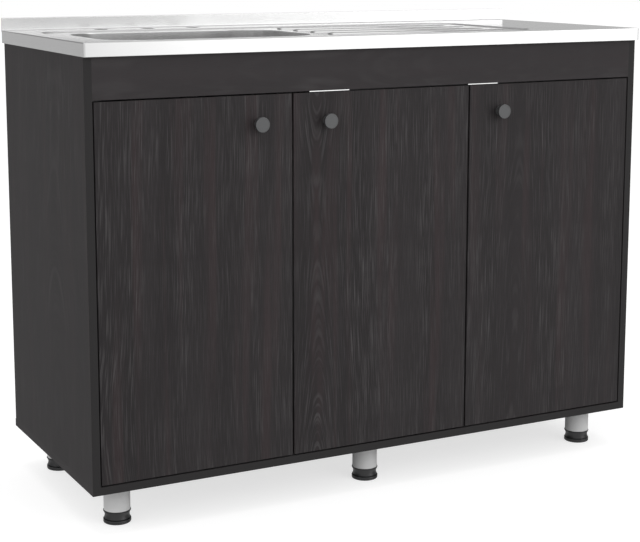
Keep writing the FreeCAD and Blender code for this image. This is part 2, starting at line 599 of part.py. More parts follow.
# ---------------------------------------------------------------- waste: turned pieces on the bowl's drain

strainer = keep(turned("strainer_body", [
    ("dims.waste_outlet_radius - dims.waste_wall", "-dims.waste_depth - dims.waste_outlet_length"),
    ("dims.waste_outlet_radius", "-dims.waste_depth - dims.waste_outlet_length"),
    ("dims.waste_outlet_radius", "-dims.waste_depth"),
    ("places.waste_outer", "-dims.waste_depth + 8"),
    ("places.waste_outer", "0"),
    ("dims.waste_flange_radius", "0"),
    ("dims.waste_flange_radius", "dims.waste_wall * 0.6"),
    ("places.waste_outer", "dims.waste_wall * 1.6"),
    ("dims.waste_radius", "dims.waste_wall"),
    ("dims.waste_radius", "-dims.waste_depth + 9"),
    ("dims.waste_outlet_radius - dims.waste_wall", "-dims.waste_depth + dims.waste_wall"),
]))
gasket = keep(turned("strainer_gasket", [
    ("places.waste_outer + dims.fit", "-dims.gasket_thickness"),
    ("places.waste_outer + dims.gasket_width", "-dims.gasket_thickness"),
    ("places.waste_outer + dims.gasket_width", "0"),
    ("places.waste_outer + dims.fit", "0"),
]))
lock_nut = keep(turned("strainer_nut", [
    ("places.waste_outer + dims.fit", "-dims.nut_thickness"),
    ("places.waste_outer + dims.gasket_width - 2", "-dims.nut_thickness"),
    ("places.waste_outer + dims.gasket_width - 2", "-3"),
    ("places.waste_outer + dims.gasket_width + 3", "-3"),
    ("places.waste_outer + dims.gasket_width + 3", "0"),
    ("places.waste_outer + dims.fit", "0"),
]))
BASKET_RADIUS = "dims.waste_radius - dims.basket_clearance"
basket = keep(turned("strainer_basket", [
    ("0", "-dims.basket_depth"),
    ("dims.waste_outlet_radius", "-dims.basket_depth"),
    (f"{BASKET_RADIUS} - 4", "-8"),
    (BASKET_RADIUS, "-2"),
    (BASKET_RADIUS, "-2 + dims.basket_rim_height"),
    (f"{BASKET_RADIUS} - 2", "-2 + dims.basket_rim_height"),
    (f"{BASKET_RADIUS} - 6", "-7"),
    ("dims.waste_outlet_radius - 1", "-dims.basket_depth + 1.2"),
    ("2.5", "-dims.basket_depth + 1.2"),
    ("2.5", "-4"),
    ("7", "-2"),
    ("7", "3"),
    ("0", "5"),
]))
slip_nut = keep(turned("tailpiece_nut", [
    ("dims.tailpiece_radius + dims.fit", "-dims.slip_nut_height / 2"),
    ("dims.slip_nut_radius", "-dims.slip_nut_height / 2"),
    ("dims.slip_nut_radius", "dims.slip_nut_height / 2"),
    ("dims.waste_outlet_radius + dims.fit", "dims.slip_nut_height / 2"),
    ("dims.waste_outlet_radius + dims.fit", "-dims.tailpiece_flange"),
    ("dims.tailpiece_radius + dims.fit", "-dims.tailpiece_flange"),
]))
tailpiece = keep(turned("tailpiece", [
    ("dims.tailpiece_radius - dims.tailpiece_wall", "-dims.tailpiece_length"),
    ("dims.tailpiece_radius", "-dims.tailpiece_length"),
    ("dims.tailpiece_radius", "-dims.bead_drop - dims.bead_width"),
    ("dims.tailpiece_radius + dims.bead_height", "-dims.bead_drop - dims.bead_width * 2 / 3"),
    ("dims.tailpiece_radius + dims.bead_height", "-dims.bead_drop - dims.bead_width / 3"),
    ("dims.tailpiece_radius", "-dims.bead_drop"),
    ("dims.tailpiece_radius", "-dims.tailpiece_flange"),
    ("dims.waste_outlet_radius", "-dims.tailpiece_flange"),
    ("dims.waste_outlet_radius", "0"),
    ("dims.tailpiece_radius - dims.tailpiece_wall", "0"),
]))
BOWL_BOTTOM = "places.bowl_floor_z - dims.sheet_gauge"
for piece, level in ((strainer, "places.bowl_floor_z"), (gasket, BOWL_BOTTOM),
                     (lock_nut, f"{BOWL_BOTTOM} - dims.gasket_thickness"),
                     (basket, "places.bowl_floor_z"), (slip_nut, "places.outlet_z"),
                     (tailpiece, "places.outlet_z")):
    put(piece, "places.bowl_x", "places.bowl_y", level)

# ---------------------------------------------------------------- doors, knobs and their screws


class Door:
    """One door: its span, and the side its hinges are on (+1 if they are at the low X edge)."""

    def __init__(self, name, x, width, hinge_side, panel_face):
        self.name = name
        self.x = x
        self.width = width
        self.hinge_side = hinge_side
        self.panel_face = panel_face
        self.hinge_edge = x if hinge_side > 0 else f"{x} + {width}"

    def from_hinge_edge(self, distance):
        """A distance from the hinge edge, as a distance from the door's own low X edge."""
        return distance if self.hinge_side > 0 else f"{self.width} - ({distance})"


DOORS = [
    Door("left", "places.door_left_x", "places.pair_width", 1, "places.inner_left_x"),
    Door("middle", "places.door_middle_x", "places.pair_width", -1, "places.partition_x"),
    Door("right", "places.door_right_x", "places.door_right_width", -1, "places.inner_right_x"),
]
HINGE_LEVELS = ["dims.hinge_end_distance", "places.door_height - dims.hinge_end_distance"]
CUP_SCREW_INSET = "dims.cup_inset + dims.cup_flange_width / 4"

for door in DOORS:
    leaf = keep(block(f"door_{door.name}", door.width, "dims.door_thickness", "places.door_height"))
    put(leaf, door.x, "places.front_y", "places.door_z")
    round_edges(leaf, leaf.Tip, is_upright, "dims.door_edge_radius")
    knob_from_low = door.from_hinge_edge(f"{door.width} - dims.knob_inset")
    knob_level = "places.door_height - dims.knob_drop"
    drill(leaf, "XZ_Plane", "0", [(knob_from_low, knob_level)], "dims.knob_screw_radius + dims.fit",
          "dims.door_thickness", False)
    drill(leaf, "XZ_Plane", "-dims.door_thickness",
          [(door.from_hinge_edge("dims.cup_inset"), z) for z in HINGE_LEVELS],
          "dims.cup_radius + dims.fit", "dims.cup_depth + dims.fit", True)
    drill(leaf, "XZ_Plane", "-dims.door_thickness",
          [(door.from_hinge_edge(CUP_SCREW_INSET), f"{z} {sign} dims.cup_screw_spread / 2")
           for z in HINGE_LEVELS for sign in "-+"],
          "dims.wood_screw_radius + dims.fit", "dims.wood_screw_length", True)

    knob = keep(turned(f"knob_{door.name}", [
        ("dims.knob_screw_radius + dims.fit", "0"),
        ("dims.knob_foot_radius", "0"),
        ("dims.knob_foot_radius", "dims.knob_foot_thickness"),
        ("dims.knob_neck_radius", "dims.knob_foot_thickness + 1.5"),
        ("dims.knob_neck_radius", "dims.knob_projection - dims.knob_face_thickness - 2"),
        ("dims.knob_radius - 1", "dims.knob_projection - dims.knob_face_thickness"),
        ("dims.knob_radius", "dims.knob_projection - dims.knob_face_thickness + 1"),
        ("dims.knob_radius", "dims.knob_projection - dims.knob_chamfer"),
        ("dims.knob_radius - dims.knob_chamfer", "dims.knob_projection"),
        ("0", "dims.knob_projection"),
        ("0", "dims.knob_screw_grip + dims.fit"),
        ("dims.knob_screw_radius + dims.fit", "dims.knob_screw_grip + dims.fit"),
    ]))
    put(knob, f"{door.x} + {knob_from_low}", "places.front_y", "places.knob_z", TOWARDS_FRONT)
doc.recompute()

# ---------------------------------------------------------------- hinges: cup, pin, gooseneck arm, plate

def cup_shape():
    """A cup let into a door, its mouth on the Z = 0 plane, with two ears screwed to the door."""
    radius = size("cup_radius")
    wall = size("cup_wall")
    depth = size("cup_depth")
    flange = size("cup_flange")
    width = size("cup_flange_width")
    length = size("cup_flange_length")
    cup = Part.makeCylinder(radius, depth, V(0, 0, -depth))
    cup = cup.fuse(Part.makeBox(width, length, flange, V(-width / 4, -length / 2, 0)))
    cup = cup.cut(Part.makeCylinder(radius - wall, depth + flange, V(0, 0, wall - depth)))
    pin_x = size("pivot_inset") - size("cup_inset")
    pin_z = -(size("door_thickness") - size("pivot_depth"))
    cup = cup.cut(pin_shape(pin_x, pin_z))
    hole_x = width / 4
    for y in (-size("cup_screw_spread") / 2, size("cup_screw_spread") / 2):
        hole = Part.makeCylinder(size("wood_screw_radius") + size("fit"), 4 * flange, V(hole_x, y, -flange))
        cup = cup.cut(hole)
    return cup.removeSplitter()


def pin_shape(pin_x, pin_z):
    """The hinge pin, along Y across the cup near the door's edge, with its ends within the cup's wall."""
    reach = size("cup_radius") - size("cup_wall") / 2
    pin = Part.makeCylinder(size("pin_radius"), 2 * reach, V(pin_x, -reach, pin_z), V(0, 1, 0))
    return pin.common(Part.makeCylinder(reach, size("cup_depth"), V(0, 0, -size("cup_depth"))))


def arm_shape():
    """The gooseneck arm, seen from above: eye on the pin at the origin, X away from the door's edge."""
    gauge = size("arm_gauge")
    height = size("arm_height")
    low = -height / 2
    reach = size("arm_reach") - size("pivot_inset")
    start = size("arm_start") - size("pivot_depth")
    channel = size("arm_channel")
    back = size("arm_start") + size("arm_length") - size("pivot_depth")
    arm = Part.makeCylinder(size("eye_radius"), height, V(0, 0, low))
    arm = arm.fuse(Part.makeBox(reach + gauge, gauge, height, V(0, -gauge / 2, low)))
    arm = arm.fuse(Part.makeBox(gauge, start + gauge / 2 + 2, height, V(reach, -gauge / 2, low)))
    arm = arm.fuse(Part.makeBox(channel, back - start, height, V(reach + gauge - channel, start, low)))
    arm = arm.cut(Part.makeCylinder(size("pin_radius") + size("pin_clearance"), 2 * height, V(0, 0, -height)))
    return arm.removeSplitter()


def plate_shape(rise):
    """A plate on a panel: X away from the panel, from its face to the arm."""
    width = size("wing_width")
    length = size("wing_length")
    gauge = size("wing_gauge")
    height = size("plate_height")
    plate = Part.makeBox(rise, size("plate_length"), height, V(0, 0, -height / 2))
    plate = plate.fuse(Part.makeBox(gauge, width, length, V(0, 0, -length / 2)))
    for z in (-size("wing_screw_spread") / 2, size("wing_screw_spread") / 2):
        hole = Part.makeCylinder(size("wood_screw_radius") + size("fit"), 4 * gauge,
                                 V(-gauge, width / 2, z), V(1, 0, 0))
        plate = plate.cut(hole)
    return plate.removeSplitter()


def mirrored_if(shape, hinge_side):
    return shape if hinge_side > 0 else shape.mirror(V(0, 0, 0), V(1, 0, 0))


def expression_value(expression):
    return float(base.evalExpression(expression))


arms = []
plates = []
plate_screws = []
front = size("front_y")
door_back = size("door_back_y")
for door in DOORS:
    side = door.hinge_side
    edge = expression_value(door.hinge_edge)
    panel_face = expression_value(door.panel_face)
    pivot_x = edge + side * size("pivot_inset")
    channel_x = edge + side * (size("arm_reach") + size("arm_gauge") - size("arm_channel"))
    rise = abs(channel_x - panel_face)
    cups = []
    pins = []
    cup_screws = []
    for level in (size("hinge_low_z"), size("hinge_high_z")):
        cup_place = at(edge + side * size("cup_inset"), door_back, level, TOWARDS_BACK)
        cups.append((mirrored_if(cup_shape(), side), cup_place))
        pin = pin_shape(size("pivot_inset") - size("cup_inset"), size("pivot_depth") - size("door_thickness"))
        pins.append((mirrored_if(pin, side), cup_place))
        screw_x = edge + side * (size("cup_inset") + size("cup_flange_width") / 4)
        for spread in (-1, 1):
            z = level + spread * size("cup_screw_spread") / 2
            cup_screws.append((wood_screw.Shape, at(screw_x, door_back + size("cup_flange"), z, TOWARDS_BACK)))
        arms.append((mirrored_if(arm_shape(), side), at(pivot_x, front + size("pivot_depth"), level)))
        plates.append((mirrored_if(plate_shape(rise), side),
                       at(panel_face, front + size("plate_start"), level)))
        into_panel = SIDEWAYS if side > 0 else SIDEWAYS.inverted()
        for spread in (-1, 1):
            z = level + spread * size("wing_screw_spread") / 2
            plate_screws.append((wood_screw.Shape,
                                 at(panel_face + side * size("wing_gauge"),
                                    front + size("plate_start") + size("wing_width") / 2, z, into_panel)))
    keep(group(f"hinge_cups_{door.name}", cups))
    keep(group(f"hinge_pins_{door.name}", pins))
    keep(group(f"hinge_cup_screws_{door.name}", cup_screws))
    knob_place = doc.getObject(f"knob_{door.name}").Placement.Base
    keep(group(f"knob_screw_{door.name}",
               [(knob_screw.Shape, at(knob_place.x, door_back, knob_place.z, TOWARDS_BACK))]))
keep(group("hinge_arms", arms))
keep(group("hinge_plates", plates))
keep(group("hinge_plate_screws", plate_screws))

# ---------------------------------------------------------------- fasteners of the carcass

left_x = size("left_x")
keep(group("carcass_screws", [
    (carcass_screw.Shape, at(left_x + expression_value(x), front + expression_value(y),
                             size("leg_height") + size("head_height"), UPSIDE_DOWN))
    for x in UPRIGHTS for y in SCREW_ROWS]))

dowels = []
for y, z in DOWELS_YZ:
    level = size("base_top_z") + expression_value(z)
    depth = front + expression_value(y)
    dowels.append((dowel.Shape, at(size("inner_left_x") - size("dowel_in_side"), depth, level, SIDEWAYS)))
    dowels.append((dowel.Shape, at(size("inner_right_x") - size("dowel_in_rail"), depth, level, SIDEWAYS)))
keep(group("rail_dowels", dowels))

pin_level = size("shelf_z") - size("shelf_pin_radius")
right_face = size("partition_x") + size("panel_thickness")
keep(group("shelf_pins", [
    (shelf_pin.Shape, at(x, front + size(y), pin_level, SIDEWAYS))
    for x in (right_face - size("shelf_pin_length"), size("inner_right_x") - size("shelf_pin_length"))
    for y in ("shelf_pin_front", "shelf_pin_back")]))


def bracket_shape():
    """An angle under the steel top: upright leg on the panel at X = 0, level leg under the sheet."""
    gauge = size("bracket_gauge")
    width = size("bracket_width")
    leg = size("bracket_leg")
    bracket = Part.makeBox(gauge, width, leg, V(0, -width / 2, -leg))
    bracket = bracket.fuse(Part.makeBox(size("bracket_reach"), width, gauge, V(0, -width / 2, -gauge)))
    hole = Part.makeCylinder(size("wood_screw_radius") + size("fit"), 4 * gauge,
                             V(-gauge, 0, -size("bracket_screw_drop")), V(1, 0, 0))
    return bracket.cut(hole).removeSplitter()


brackets = []
bracket_screws = []
for x, side in ((size("inner_left_x"), 1), (size("inner_right_x"), -1)):
    for y in (size("bracket_front"), size("bracket_back")):
        brackets.append((mirrored_if(bracket_shape(), side), at(x, front + y, size("carcass_top_z"))))
        turn = SIDEWAYS if side > 0 else SIDEWAYS.inverted()
        bracket_screws.append((wood_screw.Shape, at(x + side * size("bracket_gauge"), front + y,
                                                    size("carcass_top_z") - size("bracket_screw_drop"), turn)))
keep(group("top_brackets", brackets))
keep(group("top_bracket_screws", bracket_screws))

# ---------------------------------------------------------------- legs

socket = turned("socket", [
    ("dims.socket_screw_radius + dims.fit", "-dims.socket_height"),
    ("dims.tube_radius - dims.tube_wall - dims.fit", "-dims.socket_height"),
    ("dims.tube_radius - dims.tube_wall - dims.fit", "0"),
    ("dims.socket_screw_radius + dims.fit", "0"),
])
plug = turned("plug", [
    ("dims.stem_radius + dims.stem_clearance", "0"),
    ("dims.tube_radius - dims.tube_wall - dims.fit", "0"),
    ("dims.tube_radius - dims.tube_wall - dims.fit", "dims.plug_height"),
    ("dims.stem_radius + dims.stem_clearance", "dims.plug_height"),
])
doc.recompute()

sockets = []
plugs = []
leg_screws = []
LEG_NAMES = ("left", "middle", "right")
for row_name, row_y in zip(("front", "rear"), LEG_ROWS):
    for column_name, column_x in zip(LEG_NAMES, LEG_COLUMNS):
        x = f"places.left_x + {column_x}"
        y = f"places.front_y + {row_y}"
        tube = keep(turned(f"leg_tube_{row_name}_{column_name}", [
            ("dims.tube_radius - dims.tube_wall", "0"),
            ("dims.tube_radius", "0"),
            ("dims.tube_radius", "dims.leg_height - places.tube_bottom_z"),
            ("dims.tube_radius - dims.tube_wall", "dims.leg_height - places.tube_bottom_z"),
        ]))
        put(tube, x, y, "places.tube_bottom_z")
        foot = keep(turned(f"foot_{row_name}_{column_name}", [
            ("0", "0"),
            ("dims.foot_radius - dims.foot_round", "0"),
            ("dims.foot_radius", "dims.foot_round"),
            ("dims.foot_radius", "dims.foot_disc - 1"),
            ("dims.foot_radius - 1", "dims.foot_disc"),
            ("dims.foot_waist_radius", "dims.foot_disc + 0.5"),
            ("dims.foot_neck_radius", "(dims.foot_disc + dims.foot_height) / 2"),
            ("dims.foot_neck_radius", "dims.foot_height - dims.foot_ring - 1"),
            ("dims.foot_radius", "dims.foot_height - dims.foot_ring"),
            ("dims.foot_radius", "dims.foot_height"),
            ("dims.stem_radius", "dims.foot_height"),
            ("dims.stem_radius", "dims.foot_height + dims.stem_length"),
            ("0", "dims.foot_height + dims.stem_length"),
        ]))
        put(foot, x, y, "0")
        px = expression_value(x)
        py = expression_value(y)
        sockets.append((socket.Shape, at(px, py, size("leg_height"))))
        plugs.append((plug.Shape, at(px, py, size("tube_bottom_z"))))
        leg_screws.append((socket_screw.Shape,
                           at(px, py, size("leg_height") - size("socket_height"), UPSIDE_DOWN)))
keep(group("leg_sockets", sockets))
keep(group("leg_plugs", plugs))
keep(group("leg_screws", leg_screws))

# ---------------------------------------------------------------- checks and export

doc.recompute()
for item in doc.Objects:
    if "Invalid" in item.State or "Error" in item.State:
        raise RuntimeError(f"{item.Label} did not build: {item.State}")
for piece in PIECES:
    if piece.Shape.isNull() or not piece.Shape.isValid():
        raise RuntimeError(f"{piece.Label} has no valid shape")
    piece.Shape.exportStep(f"parts/{piece.Label}.step")
print(len(PIECES), "nodes written")
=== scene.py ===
"""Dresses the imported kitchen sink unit: steel top, wood-grain cupboard, knobs, hinges, waste and legs.

Lengths are in metres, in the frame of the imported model: X along the width, Y to the back, Z up.
"""

import logging
import math
from collections.abc import Sequence
from dataclasses import dataclass
from enum import Enum

import bmesh
import bpy
from bmesh.types import BMesh, BMVert
from bpy.types import Material, Node, NodeSocket, NodeTree, Object
from mathutils import Matrix, Vector
from mathutils.geometry import delaunay_2d_cdt

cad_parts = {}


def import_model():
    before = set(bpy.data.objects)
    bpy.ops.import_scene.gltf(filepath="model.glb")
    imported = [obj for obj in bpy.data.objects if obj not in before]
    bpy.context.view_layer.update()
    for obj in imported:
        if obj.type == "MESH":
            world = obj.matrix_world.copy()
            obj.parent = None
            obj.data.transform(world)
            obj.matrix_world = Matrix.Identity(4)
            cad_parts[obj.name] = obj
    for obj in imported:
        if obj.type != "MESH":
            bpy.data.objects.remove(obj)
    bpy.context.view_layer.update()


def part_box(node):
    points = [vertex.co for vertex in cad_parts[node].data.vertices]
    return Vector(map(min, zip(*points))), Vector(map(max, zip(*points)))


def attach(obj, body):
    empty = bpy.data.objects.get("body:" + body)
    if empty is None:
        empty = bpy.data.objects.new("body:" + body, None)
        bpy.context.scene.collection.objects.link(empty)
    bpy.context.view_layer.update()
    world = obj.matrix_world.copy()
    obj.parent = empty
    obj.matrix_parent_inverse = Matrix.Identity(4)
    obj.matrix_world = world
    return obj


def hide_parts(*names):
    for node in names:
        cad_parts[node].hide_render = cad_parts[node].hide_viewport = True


logging.basicConfig(level=logging.INFO, format="%(message)s")
log = logging.getLogger("sink_unit")

MM = 0.001
MERGE = 0.002 * MM
UP = Vector((0, 0, 1))
DOOR_NAMES = ("left", "middle", "right")
LEG_NAMES = tuple(f"{row}_{column}" for row in ("front", "rear") for column in DOOR_NAMES)

Colour = tuple[float, float, float]
Place = tuple[float, float, float]
Point2 = tuple[float, float]
Profile = list[Point2]
Contour = tuple[list[Point2], list[float]]


class Body(Enum):
    """The bodies that scene pieces ride on, without the doors and feet, which have one for each place."""

    UNIT = "unit"
    BASKET = "basket"


class Grain(Enum):
    """The axes across a board's face, into it and along its grain."""

    DOOR = ("X", "Y", "Z")
    SIDE = ("Y", "X", "Z")
    RAIL = ("Z", "Y", "X")
    SHELF = ("Y", "Z", "X")


# ---------------------------------------------------------------- node graphs


class Graph:
    """A node tree being built, with short calls for its nodes and links."""

    def __init__(self, tree: NodeTree) -> None:
        """Keep the tree that the calls add to."""
        self.tree = tree

    def put(self, node: Node, inputs: dict) -> None:
        """Fill a node's inputs.

        Args:
            node: The node.
            inputs: Plain values, sockets or lists of sockets, by input name or number.
        """
        for key, value in inputs.items():
            for part in value if isinstance(value, list) else [value]:
                if isinstance(part, NodeSocket):
                    self.tree.links.new(part, node.inputs[key])
                else:
                    node.inputs[key].default_value = part

    def node(self, kind: str, inputs: dict | None = None, **settings: object) -> Node:
        """Add a node.

        Args:
            kind: The node's type name.
            inputs: What its inputs get, as put takes it.
            **settings: The node's own properties.

        Returns:
            The new node.
        """
        made = self.tree.nodes.new(kind)
        for name, value in settings.items():
            setattr(made, name, value)
        self.put(made, inputs or {})
        return made

    def math(self, operation: str, *values: object) -> NodeSocket:
        """Add a Math node and return its output."""
        return self.node("ShaderNodeMath", dict(enumerate(values)), operation=operation).outputs[0]

    def times(self, first: object, second: object) -> NodeSocket:
        """One value multiplied by another."""
        return self.math("MULTIPLY", first, second)

    def scaled(self, value: object, scale: object, base: object) -> NodeSocket:
        """A value multiplied by a scale and added to a base."""
        return self.math("MULTIPLY_ADD", value, scale, base)

    def ramp(self, value: NodeSocket, low: float, high: float) -> NodeSocket:
        """Turn a value into 0 below low and 1 above high, smoothly between them."""
        limits = {"Value": value, "From Min": low, "From Max": high}
        return self.node("ShaderNodeMapRange", limits, interpolation_type="SMOOTHSTEP").outputs["Result"]

    def blend(self, factor: object, first: object, second: object) -> NodeSocket:
        """Mix two colours, given as colours or as sockets; a factor of 1 gives the second."""
        ends = [end if isinstance(end, NodeSocket) else (*end, 1.0) for end in (first, second)]
        return self.node("ShaderNodeMix", {0: factor, 6: ends[0], 7: ends[1]}, data_type="RGBA").outputs[2]

    def noise(self, place: NodeSocket, detail: float, scale: float = 1.0,
              roughness: float = 0.5) -> NodeSocket:
        """The value of a noise texture at a place."""
        inputs = {"Vector": place, "Scale": scale, "Detail": detail, "Roughness": roughness}
        return self.node("ShaderNodeTexNoise", inputs).outputs[0]

    def combined(self, x: object, y: object, z: object) -> NodeSocket:
        """A vector from three numbers or sockets."""
        return self.node("ShaderNodeCombineXYZ", {0: x, 1: y, 2: z}).outputs[0]

    def split(self, vector: NodeSocket) -> bpy.types.NodeOutputs:
        """A vector's parts, by the names X, Y and Z."""
        return self.node("ShaderNodeSeparateXYZ", {0: vector}).outputs


class Surface(Graph):
    """The node tree of a material with one Principled shader."""

    def __init__(self, name: str) -> None:
        """Start the material of that name, with the surface's own coordinates at hand."""
        self.material = bpy.data.materials.new(name)
        self.material.use_nodes = True
        super().__init__(self.material.node_tree)
        self.place = self.node("ShaderNodeTexCoord").outputs["Object"]

    def facing_back(self) -> NodeSocket:
        """How far the surface faces back: 1 straight back, -1 straight ahead."""
        return self.split(self.node("ShaderNodeNewGeometry").outputs["Normal"])["Y"]

    def close(self, inputs: dict, relief: tuple[NodeSocket, float, float] | None = None) -> Material:
        """Fill the shader's inputs.

        Args:
            inputs: Sockets or plain values, by the names of the shader's inputs.
            relief: The socket of a height, and the strength and the distance of its bump.

        Returns:
            The finished material.
        """
        if relief:
            bump = self.node("ShaderNodeBump", dict(zip(("Height", "Strength", "Distance"), relief)))
            inputs = inputs | {"Normal": bump.outputs[0]}
        self.put(self.tree.nodes["Principled BSDF"], inputs)
        return self.material


# ---------------------------------------------------------------- finishes


@dataclass(frozen=True)
class Print:
    """One stretched noise in the laminate's print.

    Its cells to the metre are given across and along the grain. It shows between two levels of the noise,
    and by its share at most.
    """

    across: float
    along: float
    detail: float
    low: float
    high: float
    share: float = 1.0
    seed: float = 0.0

    def noise(self, graph: Graph, across: NodeSocket, along: NodeSocket) -> NodeSocket:
        """The noise at a place across and along the grain."""
        place = graph.combined(graph.times(across, self.across), graph.times(along, self.along), self.seed)
        return graph.noise(place, self.detail, roughness=WoodLaminate.fibrous)

    def factor(self, graph: Graph, across: NodeSocket, along: NodeSocket) -> NodeSocket:
        """How far the print shows at a place across and along the grain."""
        return graph.ramp(self.noise(graph, across, along), self.low, self.high)


@dataclass(frozen=True)
class WoodLaminate:
    """A dark wood-grain laminate: growth lines round a heart, pores, dark and reddish bands.

    The lines follow rings round a wandering heart line, so that they run straight at a distance from it and
    close into pointed arches where it comes near the face.
    """

    name: str
    grain: Grain
    heart: Point2
    ground: Colour = (0.0328, 0.0296, 0.0308)
    contrast: float = 1.0
    wander: float = 1.0
    figure: float = 0.0
    raw_rear: float | None = None
    plain_front: bool = False
    dark: Colour = (0.0185, 0.0170, 0.0176)
    pale: Colour = (0.0900, 0.0850, 0.0865)
    reddish: Colour = (0.0500, 0.0360, 0.0375)
    edge_band: Colour = (0.0300, 0.0285, 0.0290)
    chips: tuple[Colour, Colour] = ((0.20, 0.12, 0.065), (0.52, 0.38, 0.24))
    chips_to_metre: float = 420.0
    raw_depth: float = 0.9 * MM
    squarely: float = 0.7
    fibrous: float = 0.6
    heartwood: Point2 = (20 * MM, 80 * MM)
    lines: Print = Print(600.0, 8.0, 1.0, 0.54, 0.74, 0.74)
    fibres: Print = Print(900.0, 14.0, 1.0, 0.50, 0.74, 0.55, seed=5.0)
    patches: Print = Print(26.0, 1.6, 2.0, 0.36, 0.64, seed=9.0)
    broad: Print = Print(14.0, 0.8, 2.0, 0.36, 0.64, 0.38)
    warm: Print = Print(30.0, 1.0, 2.0, 0.52, 0.72, 0.55, seed=17.0)
    pores: Print = Print(1500.0, 45.0, 1.0, 0.56, 0.72, 0.45)

    def build(self) -> Material:
        """Make the material.

        Returns:
            The finished material.
        """
        graph = Surface(self.name)
        axes = graph.split(graph.place)
        across, inwards, along = (axes[name] for name in self.grain.value)
        rings = self.ring_radius(graph, across, inwards, along)

        heartwood = graph.math("SUBTRACT", 1.0, graph.ramp(rings, *self.heartwood))
        figured = graph.math("MAXIMUM", graph.scaled(self.patches.factor(graph, rings, along), 0.75, 0.35),
                             graph.times(heartwood, self.figure))
        fibres = self.fibres.noise(graph, rings, along)
        shown_fibres = graph.ramp(fibres, self.fibres.low, self.fibres.high)
        pores = self.pores.factor(graph, across, along)
        layers = ((self.broad, self.broad.factor(graph, across, along), self.dark),
                  (self.warm, self.warm.factor(graph, across, along), self.reddish),
                  (self.lines, graph.times(self.lines.factor(graph, rings, along), figured), self.pale),
                  (self.fibres, graph.times(shown_fibres, figured), self.pale),
                  (self.pores, pores, self.dark))
        colour: object = self.ground
        for layer, factor, tint in layers:
            colour = graph.blend(graph.times(factor, layer.share * self.contrast), colour, tint)
        roughness = graph.scaled(fibres, 0.14, 0.44)
        height = graph.math("SUBTRACT", graph.times(fibres, 0.5), pores)
        if self.plain_front:
            front = graph.math("LESS_THAN", graph.facing_back(), -self.squarely)
            colour = graph.blend(front, colour, self.edge_band)
        if self.raw_rear is not None:
            colour, roughness, height = self.with_raw_edge(graph, colour, roughness, height)
        return graph.close({"Base Color": colour, "Roughness": roughness, "Specular IOR Level": 0.11},
                           (height, 0.16, 0.3 * MM))

    def ring_radius(self, graph: Graph, across: NodeSocket, inwards: NodeSocket,
                    along: NodeSocket) -> NodeSocket:
        """The distance from the wandering heart line.

        Args:
            graph: The material's graph.
            across: The place across the face.
            inwards: The depth under it.
            along: The place along the grain.

        Returns:
            The distance's socket.
        """
        slow = graph.noise(graph.combined(across, inwards, graph.times(along, 1.1)), 1.0,
                           roughness=self.fibrous)
        wander = graph.scaled(slow, 0.12 * self.wander, -0.06 * self.wander)
        quick = graph.noise(graph.combined(graph.times(across, 6.0), 3.0, graph.times(along, 4.0)), 1.0,
                            roughness=self.fibrous)
        sway = graph.scaled(quick, 0.012 * self.wander, -0.006 * self.wander)
        aside = graph.math("ADD", graph.math("SUBTRACT", across, self.heart[0]), sway)
        depth = graph.math("ADD", graph.math("SUBTRACT", inwards, self.heart[1]), wander)
        from_heart = {0: graph.combined(aside, depth, 0.0)}
        return graph.node("ShaderNodeVectorMath", from_heart, operation="LENGTH").outputs["Value"]

    def with_raw_edge(self, graph: Surface, colour: NodeSocket, roughness: NodeSocket,
                      height: NodeSocket) -> tuple[NodeSocket, NodeSocket, NodeSocket]:
        """Show pressed wood chips on the rear cut edge, which has no facing.

        Args:
            graph: The material's graph.
            colour: The faced surface's colour.
            roughness: Its roughness.
            height: Its height.

        Returns:
            The three with the raw edge put in.
        """
        rear = graph.math("GREATER_THAN", graph.split(graph.place)["Y"], self.raw_rear - self.raw_depth)
        raw = graph.times(rear, graph.math("GREATER_THAN", graph.facing_back(), self.squarely))
        cells = {"Vector": graph.place, "Scale": self.chips_to_metre, "Randomness": 1.0}
        chips = graph.node("ShaderNodeTexVoronoi", cells)
        tint = graph.node("ShaderNodeSeparateColor", {0: chips.outputs["Color"]}).outputs[0]
        return (graph.blend(raw, colour, graph.blend(tint, *self.chips)),
                graph.math("MAXIMUM", roughness, graph.times(raw, 0.85)),
                graph.math("ADD", height, graph.times(chips.outputs["Distance"], raw)))


@dataclass(frozen=True)
class Metal:
    """A metal with faint long polishing lines and slight clouds in its gloss."""

    name: str
    colour: Colour
    roughness: float
    line_scale: Place = (500.0, 500.0, 500.0)
    cloud: float = 0.04
    line_depth: float = 0.03
    metallic: float = 1.0
    specular: float = 0.5
    brushed_above: float | None = None
    brushed: float = 0.14
    brushed_edge: float = 3 * MM
    dull_share: float = 0.93

    def build(self) -> Material:
        """Make the material.

        Returns:
            The finished material.
        """
        graph = Surface(self.name)
        drawn = graph.node("ShaderNodeMapping", {"Vector": graph.place, "Scale": self.line_scale})
        lines = graph.noise(drawn.outputs[0], 2.0)
        clouds = graph.noise(graph.place, 4.0, scale=9.0)
        gloss = graph.scaled(clouds, self.cloud, self.roughness - self.cloud / 2)
        gloss = graph.scaled(lines, self.cloud, graph.math("SUBTRACT", gloss, self.cloud / 2))
        if self.brushed_above is not None:
            top = self.brushed_above + self.brushed_edge
            upper = graph.ramp(graph.split(graph.place)["Z"], self.brushed_above, top)
            gloss = graph.scaled(upper, self.brushed, gloss)
        dull = tuple(part * self.dull_share for part in self.colour)
        return graph.close({"Base Color": graph.blend(clouds, dull, self.colour), "Roughness": gloss,
                            "Metallic": self.metallic, "Specular IOR Level": self.specular},
                           (lines, self.line_depth, 0.1 * MM))


